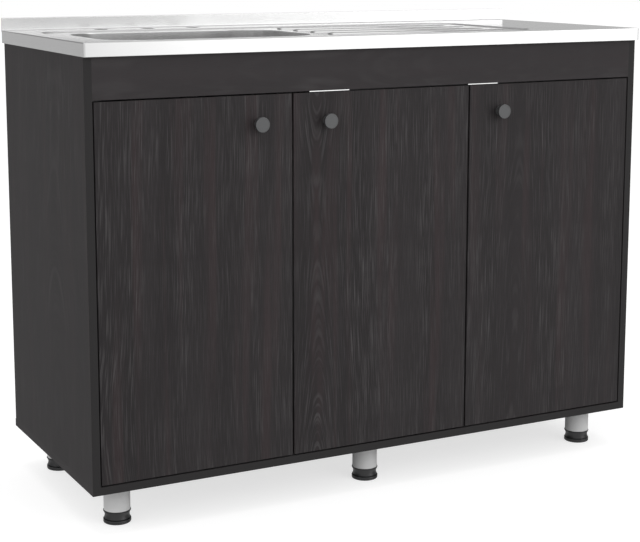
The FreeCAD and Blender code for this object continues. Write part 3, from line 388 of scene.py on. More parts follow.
@dataclass(frozen=True)
class Moulded:
    """A moulded plastic or rubber with a fine grained skin."""

    name: str
    colour: Colour
    roughness: float
    grain_scale: float = 1400.0
    grain_depth: float = 0.12
    worn_share: float = 1.18
    gloss_range: float = 0.12

    def build(self) -> Material:
        """Make the material.

        Returns:
            The finished material.
        """
        graph = Surface(self.name)
        clouds = graph.noise(graph.place, 3.0, scale=40.0)
        worn = tuple(part * self.worn_share for part in self.colour)
        gloss = graph.scaled(clouds, self.gloss_range, self.roughness - self.gloss_range / 2)
        skin = graph.noise(graph.place, 2.0, scale=self.grain_scale)
        return graph.close({"Base Color": graph.blend(clouds, self.colour, worn), "Roughness": gloss},
                           (skin, self.grain_depth, 0.1 * MM))


@dataclass(frozen=True)
class PlainWood:
    """Pale turned wood, for the dowels."""

    name: str = "beech"
    ground: Colour = (0.55, 0.38, 0.22)
    fleck: Colour = (0.38, 0.24, 0.13)
    roughness: float = 0.7

    def build(self) -> Material:
        """Make the material.

        Returns:
            The finished material.
        """
        graph = Surface(self.name)
        axes = graph.split(graph.place)
        stretched = graph.combined(graph.times(axes["X"], 60.0), graph.times(axes["Z"], 900.0), 0.0)
        flecks = graph.ramp(graph.noise(stretched, 2.0, roughness=WoodLaminate.fibrous), 0.4, 0.7)
        return graph.close({"Base Color": graph.blend(flecks, self.ground, self.fleck),
                            "Roughness": self.roughness})


class Finishes:
    """Every finish of the unit but the boards', each made once."""

    def __init__(self) -> None:
        """Make the materials."""
        lengthwise = (6.0, 900.0, 900.0)
        upright = (900.0, 900.0, 8.0)
        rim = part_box("sink_top")[1].z - PressedTop.splash_height
        self.steel = Metal("pressed_steel", (0.68,) * 3, 0.12, lengthwise, cloud=0.02, line_depth=0.002,
                           metallic=0.88, brushed_above=rim).build()
        self.cut_edge = Metal("cut_steel_edge", (0.20,) * 3, 0.55).build()
        self.waste_steel = Metal("waste_steel", (0.64,) * 3, 0.11, lengthwise, line_depth=0.01).build()
        self.tube = Metal("tube_metal", (0.76,) * 3, 0.65, upright, metallic=0.0, specular=0.15).build()
        self.knob = Metal("knob_metal", (0.090, 0.091, 0.093), 0.38, metallic=0.6).build()
        self.nickel = Metal("hinge_nickel", (0.52, 0.51, 0.49), 0.27).build()
        self.zinc = Metal("screw_zinc", (0.50, 0.50, 0.49), 0.36).build()
        self.black = Moulded("black_plastic", (0.015, 0.015, 0.016), 0.40).build()
        self.white = Moulded("white_plastic", (0.74, 0.74, 0.72), 0.36).build()
        self.rubber = Moulded("black_rubber", (0.03,) * 3, 0.70).build()
        self.beech = PlainWood().build()


# ---------------------------------------------------------------- mesh helpers


def as_object(name: str, mesh: BMesh, material: Material, sharp_from: float = 34.0) -> Object:
    """Turn a built mesh into a smooth-shaded object with its hard edges kept.

    Args:
        name: The object's name.
        mesh: The mesh, which is freed.
        material: Its finish.
        sharp_from: The angle in degrees from which an edge stays hard.

    Returns:
        The object, linked to the scene, at the origin.
    """
    data = bpy.data.meshes.new(name)
    mesh.to_mesh(data)
    mesh.free()
    smooth(data, sharp_from)
    data.materials.append(material)
    made = bpy.data.objects.new(name, data)
    bpy.context.scene.collection.objects.link(made)
    return made


def smooth(data: bpy.types.Mesh, sharp_from: float) -> None:
    """Shade a mesh smoothly, but for edges from an angle in degrees."""
    data.polygons.foreach_set("use_smooth", [True] * len(data.polygons))
    data.set_sharp_from_angle(angle=math.radians(sharp_from))


def add_modifier(piece: Object, kind: str, **settings: object) -> None:
    """Run one modifier with its settings on an object, and keep the result as its mesh."""
    modifier = piece.modifiers.new(kind.lower(), kind)
    for name, value in settings.items():
        setattr(modifier, name, value)
    apply_modifiers(piece)


def apply_modifiers(piece: Object) -> None:
    """Make an object's modifiers part of its mesh; it keeps its name and materials."""
    graph = bpy.context.evaluated_depsgraph_get()
    data = bpy.data.meshes.new_from_object(piece.evaluated_get(graph), preserve_all_data_layers=True,
                                           depsgraph=graph)
    piece.modifiers.clear()
    piece.data = data
    data.name = piece.name


def settle(piece: Object, slot: str, *nodes: str, body: str = Body.UNIT.value) -> None:
    """Let a finished piece ride on its body and stand for its CAD nodes.

    Args:
        piece: The finished object.
        slot: A material slot's name; not used.
        *nodes: The CAD nodes that it replaces.
        body: The body's name.
    """
    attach(piece, body)
    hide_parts(*nodes)
    log.info("%s: %d faces, on %s", piece.name, len(piece.data.polygons), body)


def soften(node: str, slot: str, material: Material, width: float, body: str = Body.UNIT.value) -> None:
    """Stand a copy with rounded edges in for a sharp CAD node.

    Args:
        node: The node's name.
        slot: A material slot's name, handed on to settle.
        material: Its finish.
        width: The width of the rounding.
        body: The body that it rides on.
    """
    mesh = bmesh.new()
    mesh.from_mesh(bpy.data.objects[node].data)
    bmesh.ops.remove_doubles(mesh, verts=mesh.verts, dist=MERGE)
    bmesh.ops.dissolve_limit(mesh, angle_limit=math.radians(0.4), verts=mesh.verts, edges=mesh.edges)
    piece = as_object(f"soft_{node}", mesh, material, 40)
    add_modifier(piece, "BEVEL", width=width, segments=2, limit_method="ANGLE", angle_limit=math.radians(50),
                 harden_normals=True, use_clamp_overlap=True)
    settle(piece, slot, node, body=body)


def near(base: Point2, *offsets: Point2) -> Profile:
    """Points of a section, at offsets in millimetres from a base point."""
    return [(base[0] + out * MM, base[1] + up * MM) for out, up in offsets]


def arc(centre: Point2, radius: float, start: float, end: float, steps: int) -> Profile:
    """Points on an arc of a section.

    Args:
        centre: The arc's centre.
        radius: The arc's radius.
        start: The first angle in degrees, from the outward direction up.
        end: The last angle.
        steps: The number of runs.

    Returns:
        The points from start to end.
    """
    angles = [math.radians(start + (end - start) * i / steps) for i in range(steps + 1)]
    return [(centre[0] + radius * math.cos(a), centre[1] + radius * math.sin(a)) for a in angles]


def loft(mesh: BMesh, rings: list[list[Sequence[float]]], closed: bool = False,
         turned: bool = False) -> list[list[BMVert]]:
    """Place rings of points and join each with the next; a ring of one point is a pole.

    Args:
        mesh: The mesh that gets the form.
        rings: The rings, all with as many points, but for poles.
        closed: Whether the last ring joins the first.
        turned: Whether the faces look the other way.

    Returns:
        The rings' placed points.
    """
    placed = [[mesh.verts.new(point) for point in ring] for ring in rings]
    pairs = list(zip(placed, placed[1:]))
    if closed:
        pairs.append((placed[-1], placed[0]))
    for first, second in pairs:
        lower, upper = (second, first) if turned else (first, second)
        count = max(len(lower), len(upper))
        for i in range(count if count > 1 else 0):
            j = (i + 1) % count
            corners = (lower[i % len(lower)], lower[j % len(lower)],
                       upper[j % len(upper)], upper[i % len(upper)])
            unique = list(dict.fromkeys(corners))
            if len(unique) > 2:
                mesh.faces.new(unique)
    return placed


def turned_mesh(profile: Profile, centre: Sequence[float], axis: Vector, segments: int = 72,
                closed: bool = False, into: BMesh | None = None) -> BMesh:
    """Turn a half section round an axis.

    Args:
        profile: Radius and height pairs; a radius of 0 closes the form there.
        centre: The point that height 0 stands at.
        axis: The direction of growing height.
        segments: The steps round.
        closed: Whether the last point joins the first, as in a tube.
        into: A mesh to add the form to, instead of a new one.

    Returns:
        The mesh, with its faces pointing outwards.
    """
    mesh = bmesh.new() if into is None else into
    side = axis.orthogonal().normalized()
    other = axis.cross(side)
    angles = [math.tau * i / segments for i in range(segments)]
    rings = []
    for radius, height in profile:
        middle = Vector(centre) + axis * height
        ring = [middle + (side * math.cos(a) + other * math.sin(a)) * radius for a in angles]
        rings.append(ring if radius > 1e-7 else [middle])
    loft(mesh, rings, closed)
    bmesh.ops.recalc_face_normals(mesh, faces=mesh.faces)
    return mesh


@dataclass(frozen=True)
class Extent:
    """A box along the axes, with the measures of an upright round piece in it."""

    low: Vector
    high: Vector

    @classmethod
    def of_points(cls, points: list[Vector]) -> "Extent":
        """The box round some points."""
        return cls(*(Vector([pick(point[i] for point in points) for i in range(3)]) for pick in (min, max)))

    @property
    def radius(self) -> float:
        """Half the width."""
        return (self.high.x - self.low.x) / 2

    @property
    def height(self) -> float:
        """The height."""
        return self.high.z - self.low.z

    def middle(self, level: float = 0.0) -> Vector:
        """The middle seen from above, at a level."""
        return Vector(((self.low.x + self.high.x) / 2, (self.low.y + self.high.y) / 2, level))


def islands(node: str) -> list[list[Vector]]:
    """The corner points of each separate solid of a grouped CAD node.

    Args:
        node: The node's name.

    Returns:
        One list of points for each solid.
    """
    mesh = bmesh.new()
    mesh.from_mesh(bpy.data.objects[node].data)
    bmesh.ops.remove_doubles(mesh, verts=mesh.verts, dist=MERGE / 2)
    found = []
    seen: set[BMVert] = set()
    for first in mesh.verts:
        if first in seen:
            continue
        seen.add(first)
        waiting = [first]
        members = []
        while waiting:
            vert = waiting.pop()
            members.append(vert.co.copy())
            fresh = [edge.other_vert(vert) for edge in vert.link_edges]
            fresh = [other for other in fresh if other not in seen]
            seen.update(fresh)
            waiting += fresh
        found.append(members)
    mesh.free()
    return found


@dataclass(frozen=True)
class Outline:
    """A level rectangle with round corners, which can be grown or shrunk."""

    low: Point2
    high: Point2
    radius: float
    corner_steps: int
    side_steps: int

    def grown(self, by: float) -> "Outline":
        """The outline moved outwards by a distance, or inwards if it is negative."""
        low = (self.low[0] - by, self.low[1] - by)
        high = (self.high[0] + by, self.high[1] + by)
        return Outline(low, high, max(self.radius + by, 0.5 * MM), self.corner_steps, self.side_steps)

    def points(self) -> list[Point2]:
        """The outline's points, anticlockwise from the near end of its right side.

        Returns:
            The points of the four corners and of the sides between them.
        """
        radius = self.radius
        (x0, y0), (x1, y1) = self.low, self.high
        centres = [(x1 - radius, y1 - radius), (x0 + radius, y1 - radius),
                   (x0 + radius, y0 + radius), (x1 - radius, y0 + radius)]
        made: list[Point2] = []
        for quarter, centre in enumerate(centres):
            turn = 90 * quarter + 90
            made += arc(centre, radius, turn - 90, turn, self.corner_steps)
            start = made[-1]
            end = arc(centres[(quarter + 1) % 4], radius, turn, turn, 1)[0]
            shares = [i / self.side_steps for i in range(1, self.side_steps)]
            made += [(start[0] + (end[0] - start[0]) * share, start[1] + (end[1] - start[1]) * share)
                     for share in shares]
        return made

    def holds(self, x: float, y: float) -> bool:
        """Whether a point is inside the outline."""
        radius = self.radius
        nearest_x = min(max(x, self.low[0] + radius), self.high[0] - radius)
        nearest_y = min(max(y, self.low[1] + radius), self.high[1] - radius)
        return math.hypot(x - nearest_x, y - nearest_y) <= radius


# ---------------------------------------------------------------- steel top


@dataclass
class PressedTop:
    """The pressed steel top with its lip, ledge, sunk tray, ribs, bowl, tap holes and splashback."""

    finish: Material
    cut_edge: Material
    gauge: float = 0.8 * MM
    bend: float = 2.0 * MM
    edge_corner: float = 1.5 * MM
    lip_return: float = 6.0 * MM
    tray_inset: float = 40 * MM
    tray_size: Point2 = (938 * MM, 372 * MM)
    tray_corner: float = 55 * MM
    tray_drop: float = 2.0 * MM
    tray_slope: float = 5.0 * MM
    tray_steps: int = 5
    rib_start: float = 534 * MM
    rib_length: float = 399 * MM
    rib_from_front: float = 110 * MM
    rib_spacing: float = 75 * MM
    rib_count: int = 4
    rib_width: float = 20 * MM
    rib_rise: float = 3.0 * MM
    rib_fade: float = 0.6
    rib_end: float = 13 * MM
    rib_slope: float = 6.5 * MM
    rib_corner_share: float = 0.35
    rib_steps: int = 8
    bowl_flange: float = 4 * MM
    bowl_roll: float = 1.5 * MM
    bowl_draft: float = 2.0 * MM
    bowl_floor_radius: float = 40 * MM
    bowl_corner: float = 74 * MM
    bowl_fall: float = 1.2 * MM
    drain_radius: float = 44.6 * MM
    drain_seat: float = 58 * MM
    tap_radius: float = 14.5 * MM
    tap_from_left: float = 192 * MM
    tap_from_front: float = 450 * MM
    tap_spacing: float = 100 * MM
    tap_sides: int = 48
    splash_thickness: float = 2.4 * MM
    splash_height: float = 25 * MM
    splash_cove: float = 2.5 * MM
    splash_gap: float = 0.2 * MM

    def __post_init__(self) -> None:
        """Read the top's and the bowl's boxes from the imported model, and place the outlines."""
        self.low, self.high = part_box("sink_top")
        self.bowl = Extent(*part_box("sink_bowl"))
        self.rim = self.high.z - self.splash_height
        self.tray_z = self.rim - self.tray_drop
        low, high, inset = self.bowl.low, self.bowl.high, self.bowl_flange
        self.mouth = Outline((low.x + inset, low.y + inset), (high.x - inset, high.y - inset),
                             self.bowl_corner, corner_steps=18, side_steps=8)
        x, y = self.low.x + self.tray_inset, self.low.y + self.tray_inset
        self.tray = Outline((x, y), (x + self.tray_size[0], y + self.tray_size[1]), self.tray_corner,
                            corner_steps=14, side_steps=10)
        self.flat_edge = Outline((self.low.x + self.bend, self.low.y + self.bend),
                                 (self.high.x - self.bend, self.high.y - self.bend), self.edge_corner,
                                 corner_steps=5, side_steps=12)
        self.taps = [(self.low.x + self.tap_from_left + i * self.tap_spacing,
                      self.low.y + self.tap_from_front) for i in range(3)]

    def contours(self) -> list[Contour]:
        """The loops that carry the pressed relief.

        Returns:
            Pairs of a closed loop's points and their heights.
        """
        level_loops = [(self.flat_edge.points(), self.rim)]
        for step in range(self.tray_steps + 1):
            share = step / self.tray_steps
            ease = 0.5 - 0.5 * math.cos(math.pi * share)
            outline = self.tray.grown(self.tray_slope * (0.5 - share))
            level_loops.append((outline.points(), self.rim - self.tray_drop * ease))
        level_loops.append((self.mouth.points(), self.tray_z))
        last_side = 360 - 360 / self.tap_sides
        for tap in self.taps:
            level_loops.append((arc(tap, self.tap_radius, 0, last_side, self.tap_sides - 1), self.rim))
        made = [(points, [level] * len(points)) for points, level in level_loops]
        for number in range(self.rib_count):
            made += self.rib_contours(self.low.y + self.rib_from_front + number * self.rib_spacing)
        return made

    def rib_contours(self, y: float) -> list[Contour]:
        """One rib's loops, from its foot to its crest, which sinks away from the bowl.

        Args:
            y: The rib's middle line.

        Returns:
            Pairs of a closed loop's points and their heights.
        """
        first = self.low.x + self.rib_start
        made = []
        for step in range(self.rib_steps + 1):
            share = step / self.rib_steps
            half = self.rib_width / 2 - self.rib_slope * share
            shift = self.rib_end * share
            outline = Outline((first + shift, y - half), (first + self.rib_length - shift, y + half),
                              half * self.rib_corner_share, corner_steps=6, side_steps=8)
            rise = self.rib_rise * math.sqrt(1 - (1 - share) ** 2)
            points = outline.points()
            made.append((points, [self.tray_z + rise * (1 - self.rib_fade * (x - first) / self.rib_length)
                                  for x, _ in points]))
        return made

    def relief(self) -> BMesh:
        """The pressed sheet inside its bent edge, with holes for the bowl and the taps.

        Returns:
            The sheet, facing up.
        """
        flat: list[Vector] = []
        levels: list[float] = []
        edges: list[tuple[int, int]] = []
        for points, heights in self.contours():
            first = len(flat)
            flat += [Vector(point) for point in points]
            levels += heights
            edges += [(first + i, first + (i + 1) % len(points)) for i in range(len(points))]
        corners, _, faces, origins, _, _ = delaunay_2d_cdt(flat, edges, [], 0, 1e-7)
        mesh = bmesh.new()
        verts = [mesh.verts.new((corner.x, corner.y, levels[origin[0]]))
                 for corner, origin in zip(corners, origins)]
        for face in faces:
            middle = sum((corners[i] for i in face), Vector((0, 0))) / len(face)
            if self.is_sheet(middle.x, middle.y):
                mesh.faces.new([verts[i] for i in face])
        for face in mesh.faces:
            if face.normal.z < 0:
                face.normal_flip()
        return mesh

    def is_sheet(self, x: float, y: float) -> bool:
        """Whether there is sheet at a point, and neither the bowl's mouth nor a tap hole."""
        if self.mouth.holds(x, y) or not self.flat_edge.holds(x, y):
            return False
        return all(math.hypot(x - tap_x, y - tap_y) > self.tap_radius for tap_x, tap_y in self.taps)

    def add_lip(self, mesh: BMesh) -> None:
        """Bend the sheet's edge down into the lip, with a narrow return under it."""
        drop = self.rim - self.low.z
        section = arc((0.0, self.bend), self.bend, -90, 0, 5)
        section += near((self.bend, drop), (0, -0.9), (-0.3, -0.2), (-1, 0))
        section.append((self.bend - self.lip_return, drop))
        rings = [[(x, y, self.rim - down) for x, y in self.flat_edge.grown(out).points()]
                 for out, down in section]
        loft(mesh, rings, turned=True)

    def add_bowl(self, mesh: BMesh) -> None:
        """Draw the bowl down: rolled edge, walls, round foot and a floor that falls to the drain.

        Args:
            mesh: The sheet, which gets the bowl.
        """
        depth = self.tray_z - self.bowl.low.z - self.gauge
        roll, foot = self.bowl_roll, self.bowl_floor_radius
        inset = roll + self.bowl_draft
        foot_top = depth - self.bowl_fall - foot
        section = arc((0.0, roll), roll, -90, 0, 9)
        section += [(roll + self.bowl_draft * i / 4, roll + (foot_top - roll) * i / 4) for i in range(1, 5)]
        section += arc((inset + foot, foot_top), foot, 180, 90, 10)[1:]
        rings = [[(x, y, self.tray_z - down) for x, y in self.mouth.grown(-inwards).points()]
                 for inwards, down in section]
        low, high = self.bowl.low, self.bowl.high
        centre = ((low.x + high.x) / 2, (low.y + high.y) / 2, self.tray_z - depth)
        wall_foot = rings[-1]
        for step in range(1, 6):
            rings.append([self.towards_circle(point, centre, self.drain_seat, step / 5)
                          for point in wall_foot])
        rings.append([self.towards_circle(point, centre, self.drain_radius, 1.0) for point in rings[-1]])
        loft(mesh, rings)

    @staticmethod
    def towards_circle(point: Place, centre: Place, radius: float, share: float) -> Place:
        """Move a point of the bowl's floor some of the way to a circle round the drain.

        Args:
            point: The point.
            centre: The circle's centre.
            radius: The circle's radius.
            share: 0 to stay and 1 to reach the circle.

        Returns:
            The moved point.
        """
        across = Vector((point[0] - centre[0], point[1] - centre[1]))
        moved = across.lerp(across.normalized() * radius, share)
        ease = 1 - (1 - share) ** 2
        return centre[0] + moved.x, centre[1] + moved.y, point[2] + (centre[2] - point[2]) * ease

    def add_splashback(self, mesh: BMesh) -> None:
        """Stand the folded splashback on the rear edge.

        Args:
            mesh: The finished shell, which gets the splashback.
        """
        back = self.high.y
        face = back - self.splash_thickness
        cove = self.splash_cove
        round_top = self.splash_thickness / 2
        top = self.high.z - round_top
        section = arc((face - cove, self.rim + cove), cove, -90, 0, 10)
        section += near((face, self.rim + cove), (0, 0.5)) + near((face, top), (0, -0.5))
        section += arc((back - round_top, top), round_top, 180, 0, 10)
        section += near((back, self.rim - self.bend), (0, -0.5), (-1.2, -0.5))
        section += near((back, self.rim), (-1.2, -0.3)) + near((face - cove, self.rim), (0, -0.3))
        before = set(mesh.faces)
        ends = loft(mesh, [[(x, y, z) for y, z in section]
                           for x in (self.low.x + self.splash_gap, self.high.x - self.splash_gap)])
        for end in ends:
            mesh.faces.new(end)
        bmesh.ops.recalc_face_normals(mesh, faces=[face for face in mesh.faces if face not in before])

    def build(self) -> None:
        """Make the whole top and bowl as one sheet and let it stand for their two nodes."""
        sheet = self.relief()
        self.add_lip(sheet)
        self.add_bowl(sheet)
        bmesh.ops.remove_doubles(sheet, verts=sheet.verts, dist=MERGE)
        bmesh.ops.recalc_face_normals(sheet, faces=sheet.faces)
        level_faces = [face for face in sheet.faces if abs(face.normal.z) > 0.99 and face.calc_area() > 1e-4]
        if sum(face.normal.z for face in level_faces) < 0:
            bmesh.ops.reverse_faces(sheet, faces=sheet.faces)
        piece = as_object("pressed_top", sheet, self.finish, 50)
        piece.data.materials.append(self.cut_edge)
        add_modifier(piece, "SOLIDIFY", thickness=self.gauge, offset=-1, use_quality_normals=True,
                     material_offset_rim=1)

        whole = bmesh.new()
        whole.from_mesh(piece.data)
        self.add_splashback(whole)
        whole.to_mesh(piece.data)
        whole.free()
        smooth(piece.data, 48)
        add_modifier(piece, "WEIGHTED_NORMAL", keep_sharp=True, weight=80)
        settle(piece, "steel", "sink_top", "sink_bowl")


# ---------------------------------------------------------------- cupboard


@dataclass(frozen=True)
class Board:
    """One board: its node and grain, and the heart of its figure.

    The heart is given as a share of the board's width and a depth under its face.
    """

    node: str
    grain: Grain
    heart_share: float
    heart_depth: float
    body: str = Body.UNIT.value
    contrast: float = 1.0
    # painted light and shade: this share lightens or darkens the laminate's ground colour for how light falls
    # on the board
    tone: float = 1.0
    figure: float = 0.0
    raw_rear: bool = False
    edge_rounding: float = 0.5 * MM

    def dress(self) -> None:
        """Copy the board with softened edges, in a laminate of its own."""
        low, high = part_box(self.node)
        across, inwards, _ = ("XYZ".index(name) for name in self.grain.value)
        middle = low[across] + (high[across] - low[across]) * self.heart_share
        heart = (middle, low[inwards] + self.heart_depth)
        # the board's share paints light or shade into the ground colour
        ground = tuple(part * self.tone for part in WoodLaminate.ground)
        laminate = WoodLaminate(
            f"laminate_{self.node}", self.grain, heart, ground, self.contrast,
            wander=0.15 if self.grain is Grain.RAIL else 1.0, figure=self.figure,
            raw_rear=high.y if self.raw_rear else None, plain_front=self.grain in (Grain.SIDE, Grain.SHELF))
        soften(self.node, "board", laminate.build(), self.edge_rounding, self.body)


BOARDS = (
    Board("door_left", Grain.DOOR, -0.12, 0.110, "left_door"),
    Board("door_middle", Grain.DOOR, 0.13, 0.034, "middle_door", contrast=1.15, figure=0.7),
    Board("door_right", Grain.DOOR, 0.30, 0.060, "right_door", contrast=0.9, figure=0.5),
    # painted shade on the side panels (share below 1) and painted light on the header rail (share above 1)
    Board("side_panel_left", Grain.SIDE, 0.35, 0.300, contrast=0.38, tone=0.89, raw_rear=True),
    Board("side_panel_right", Grain.SIDE, 0.70, 0.300, contrast=0.38, tone=0.89, raw_rear=True),
    Board("partition", Grain.SIDE, 0.50, 0.300, contrast=0.45),
    Board("header_rail", Grain.RAIL, 0.45, 0.400, contrast=0.48, tone=1.34),
    Board("rear_top_rail", Grain.RAIL, 0.50, 0.400, contrast=0.5),
    Board("rear_bottom_rail", Grain.RAIL, 0.50, 0.400, contrast=0.5),
    Board("base_panel", Grain.SHELF, 0.50, 0.300, contrast=0.5, raw_rear=True),
    Board("shelf", Grain.SHELF, 0.40, 0.300, contrast=0.5),
)


@dataclass
class Knobs:
    """The round pull knobs: a flat face on a waisted stem with a small foot."""

    finish: Material
    face_radius: float = 14.25 * MM
    face_thickness: float = 6.5 * MM
    face_rounding: float = 0.9 * MM
    foot_radius: float = 8.7 * MM
    foot_thickness: float = 2.0 * MM
    foot_rounding: float = 0.6 * MM
    neck_radius: float = 5.8 * MM
    neck_foot: float = 2.0 * MM
    neck_head: float = 2.6 * MM

    def section(self, projection: float) -> Profile:
        """The knob's half section.

        Args:
            projection: How far its face stands off the door.

        Returns:
            Radius and height pairs from the door to the middle of the face.
        """
        back = projection - self.face_thickness
        rounding, foot, head = self.face_rounding, self.neck_foot, self.neck_head
        shoulder = near((self.foot_radius, self.foot_thickness), (-0.6, -0.6))[0]
        made = [(0.0, 0.0)] + near((self.foot_radius, 0.0), (-0.2, 0))
        made += arc(shoulder, self.foot_rounding, 0, 90, 4)
        made += arc((self.neck_radius + foot, self.foot_thickness + foot), foot, 270, 180, 6)
        made += arc((self.neck_radius + head, back - head), head, 180, 90, 6)
        made += arc((self.face_radius - rounding, back + rounding), rounding, -90, 0, 5)
        made += arc((self.face_radius - rounding, projection - rounding), rounding, 0, 90, 5)
        made += near((self.face_radius, projection), (-2.2, 0), (-2.5, -0.25), (-2.8, -0.25))
        return made + near((0.0, projection), (0, -0.12))

    def build(self) -> None:
        """Turn the three knobs and fix each to its door."""
        for name in DOOR_NAMES:
            low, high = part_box(f"knob_{name}")
            centre = ((low.x + high.x) / 2, high.y, (low.z + high.z) / 2)
            mesh = turned_mesh(self.section(high.y - low.y), centre, Vector((0, -1, 0)), 96)
            piece = as_object(f"turned_knob_{name}", mesh, self.finish)
            settle(piece, "knob_metal", f"knob_{name}", body=f"{name}_door")


@dataclass
class Fittings:
    """Hinges, brackets, pins and dowels: the CAD shapes with rounded edges and their finishes."""

    finishes: Finishes

    def build(self) -> None:
        """Soften the fittings."""
        nickel = self.finishes.nickel
        for name in DOOR_NAMES:
            soften(f"hinge_cups_{name}", "zinc", nickel, 0.3 * MM, f"{name}_door")
            soften(f"hinge_pins_{name}", "zinc", nickel, 0.15 * MM, f"{name}_door")
        soften("hinge_arms", "zinc", nickel, 0.35 * MM)
        soften("hinge_plates", "zinc", nickel, 0.35 * MM)
        soften("top_brackets", "zinc", self.finishes.zinc, 0.3 * MM)
        soften("shelf_pins", "zinc", nickel, 0.4 * MM)
        soften("rail_dowels", "dowel_wood", self.finishes.beech, 0.6 * MM)


# ---------------------------------------------------------------- geometry nodes


class GeometryGraph(Graph):
    """A geometry node tree with named inputs, used through a modifier."""

    def __init__(self, name: str) -> None:
        """Start a tree of that name, which takes a mesh and gives a mesh."""
        super().__init__(bpy.data.node_groups.new(name, "GeometryNodeTree"))
        for direction in ("INPUT", "OUTPUT"):
            self.tree.interface.new_socket("Geometry", in_out=direction, socket_type="NodeSocketGeometry")
        self.entry = self.tree.nodes.new("NodeGroupInput")
        self.exit = self.tree.nodes.new("NodeGroupOutput")
        self.identifiers: dict[str, str] = {}

    def size(self, name: str, default: float) -> NodeSocket:
        """Add a named input.

        Args:
            name: The input's name.
            default: Its value where the modifier sets none.

        Returns:
            The socket that gives it inside the tree.
        """
        socket = self.tree.interface.new_socket(name, in_out="INPUT", socket_type="NodeSocketFloat")
        socket.default_value = default
        self.identifiers[name] = socket.identifier
        return self.entry.outputs[name]

    def shape(self, kind: str, sizes: dict, place: NodeSocket, turn: object = (0.0, 0.0, 0.0)) -> NodeSocket:
        """A basic shape, turned and moved to a place.

        Args:
            kind: The end of the shape node's type name.
            sizes: What the shape node's inputs get.
            place: Where the shape stands.
            turn: Its rotation.

        Returns:
            The geometry's socket.
        """
        made = self.node(f"GeometryNodeMesh{kind}", sizes).outputs[0]
        moved = {"Geometry": made, "Translation": place, "Rotation": turn}
        return self.node("GeometryNodeTransform", moved).outputs[0]

    def boolean(self, operation: str, inputs: dict) -> NodeSocket:
        """The result of an exact Boolean node."""
        return self.node("GeometryNodeMeshBoolean", inputs, operation=operation, solver="EXACT").outputs[0]

    def instances(self, points: NodeSocket, form: NodeSocket, turn: NodeSocket) -> NodeSocket:
        """A form on each of some points, turned by a rotation of its own."""
        inputs = {"Points": points, "Instance": form, "Rotation": turn}
        return self.node("GeometryNodeInstanceOnPoints", inputs).outputs[0]

    def finish(self, geometry: NodeSocket, material: Material) -> None:
        """End the tree: make instances real, and set their finish."""
        real = self.node("GeometryNodeRealizeInstances", {0: geometry}).outputs[0]
        shaded = self.node("GeometryNodeSetMaterial", {"Geometry": real, "Material": material}).outputs[0]
        self.put(self.exit, {0: shaded})

    def run(self, piece: Object, **sizes: float) -> None:
        """Run the tree on an object and keep the result as its mesh.

        Args:
            piece: The object with the points or the mesh that the tree takes.
            **sizes: Values of the named inputs.
        """
        modifier = piece.modifiers.new(self.tree.name, "NODES")
        modifier.node_group = self.tree
        for name, value in sizes.items():
            modifier[self.identifiers[name]] = value
        apply_modifiers(piece)
        piece.data.set_sharp_from_angle(angle=math.radians(35))


@dataclass(frozen=True)
class ScrewSize:
    """The measures of a screw's head and shank."""

    head_radius: float
    shank_radius: float
    head_height: float = 2 * MM


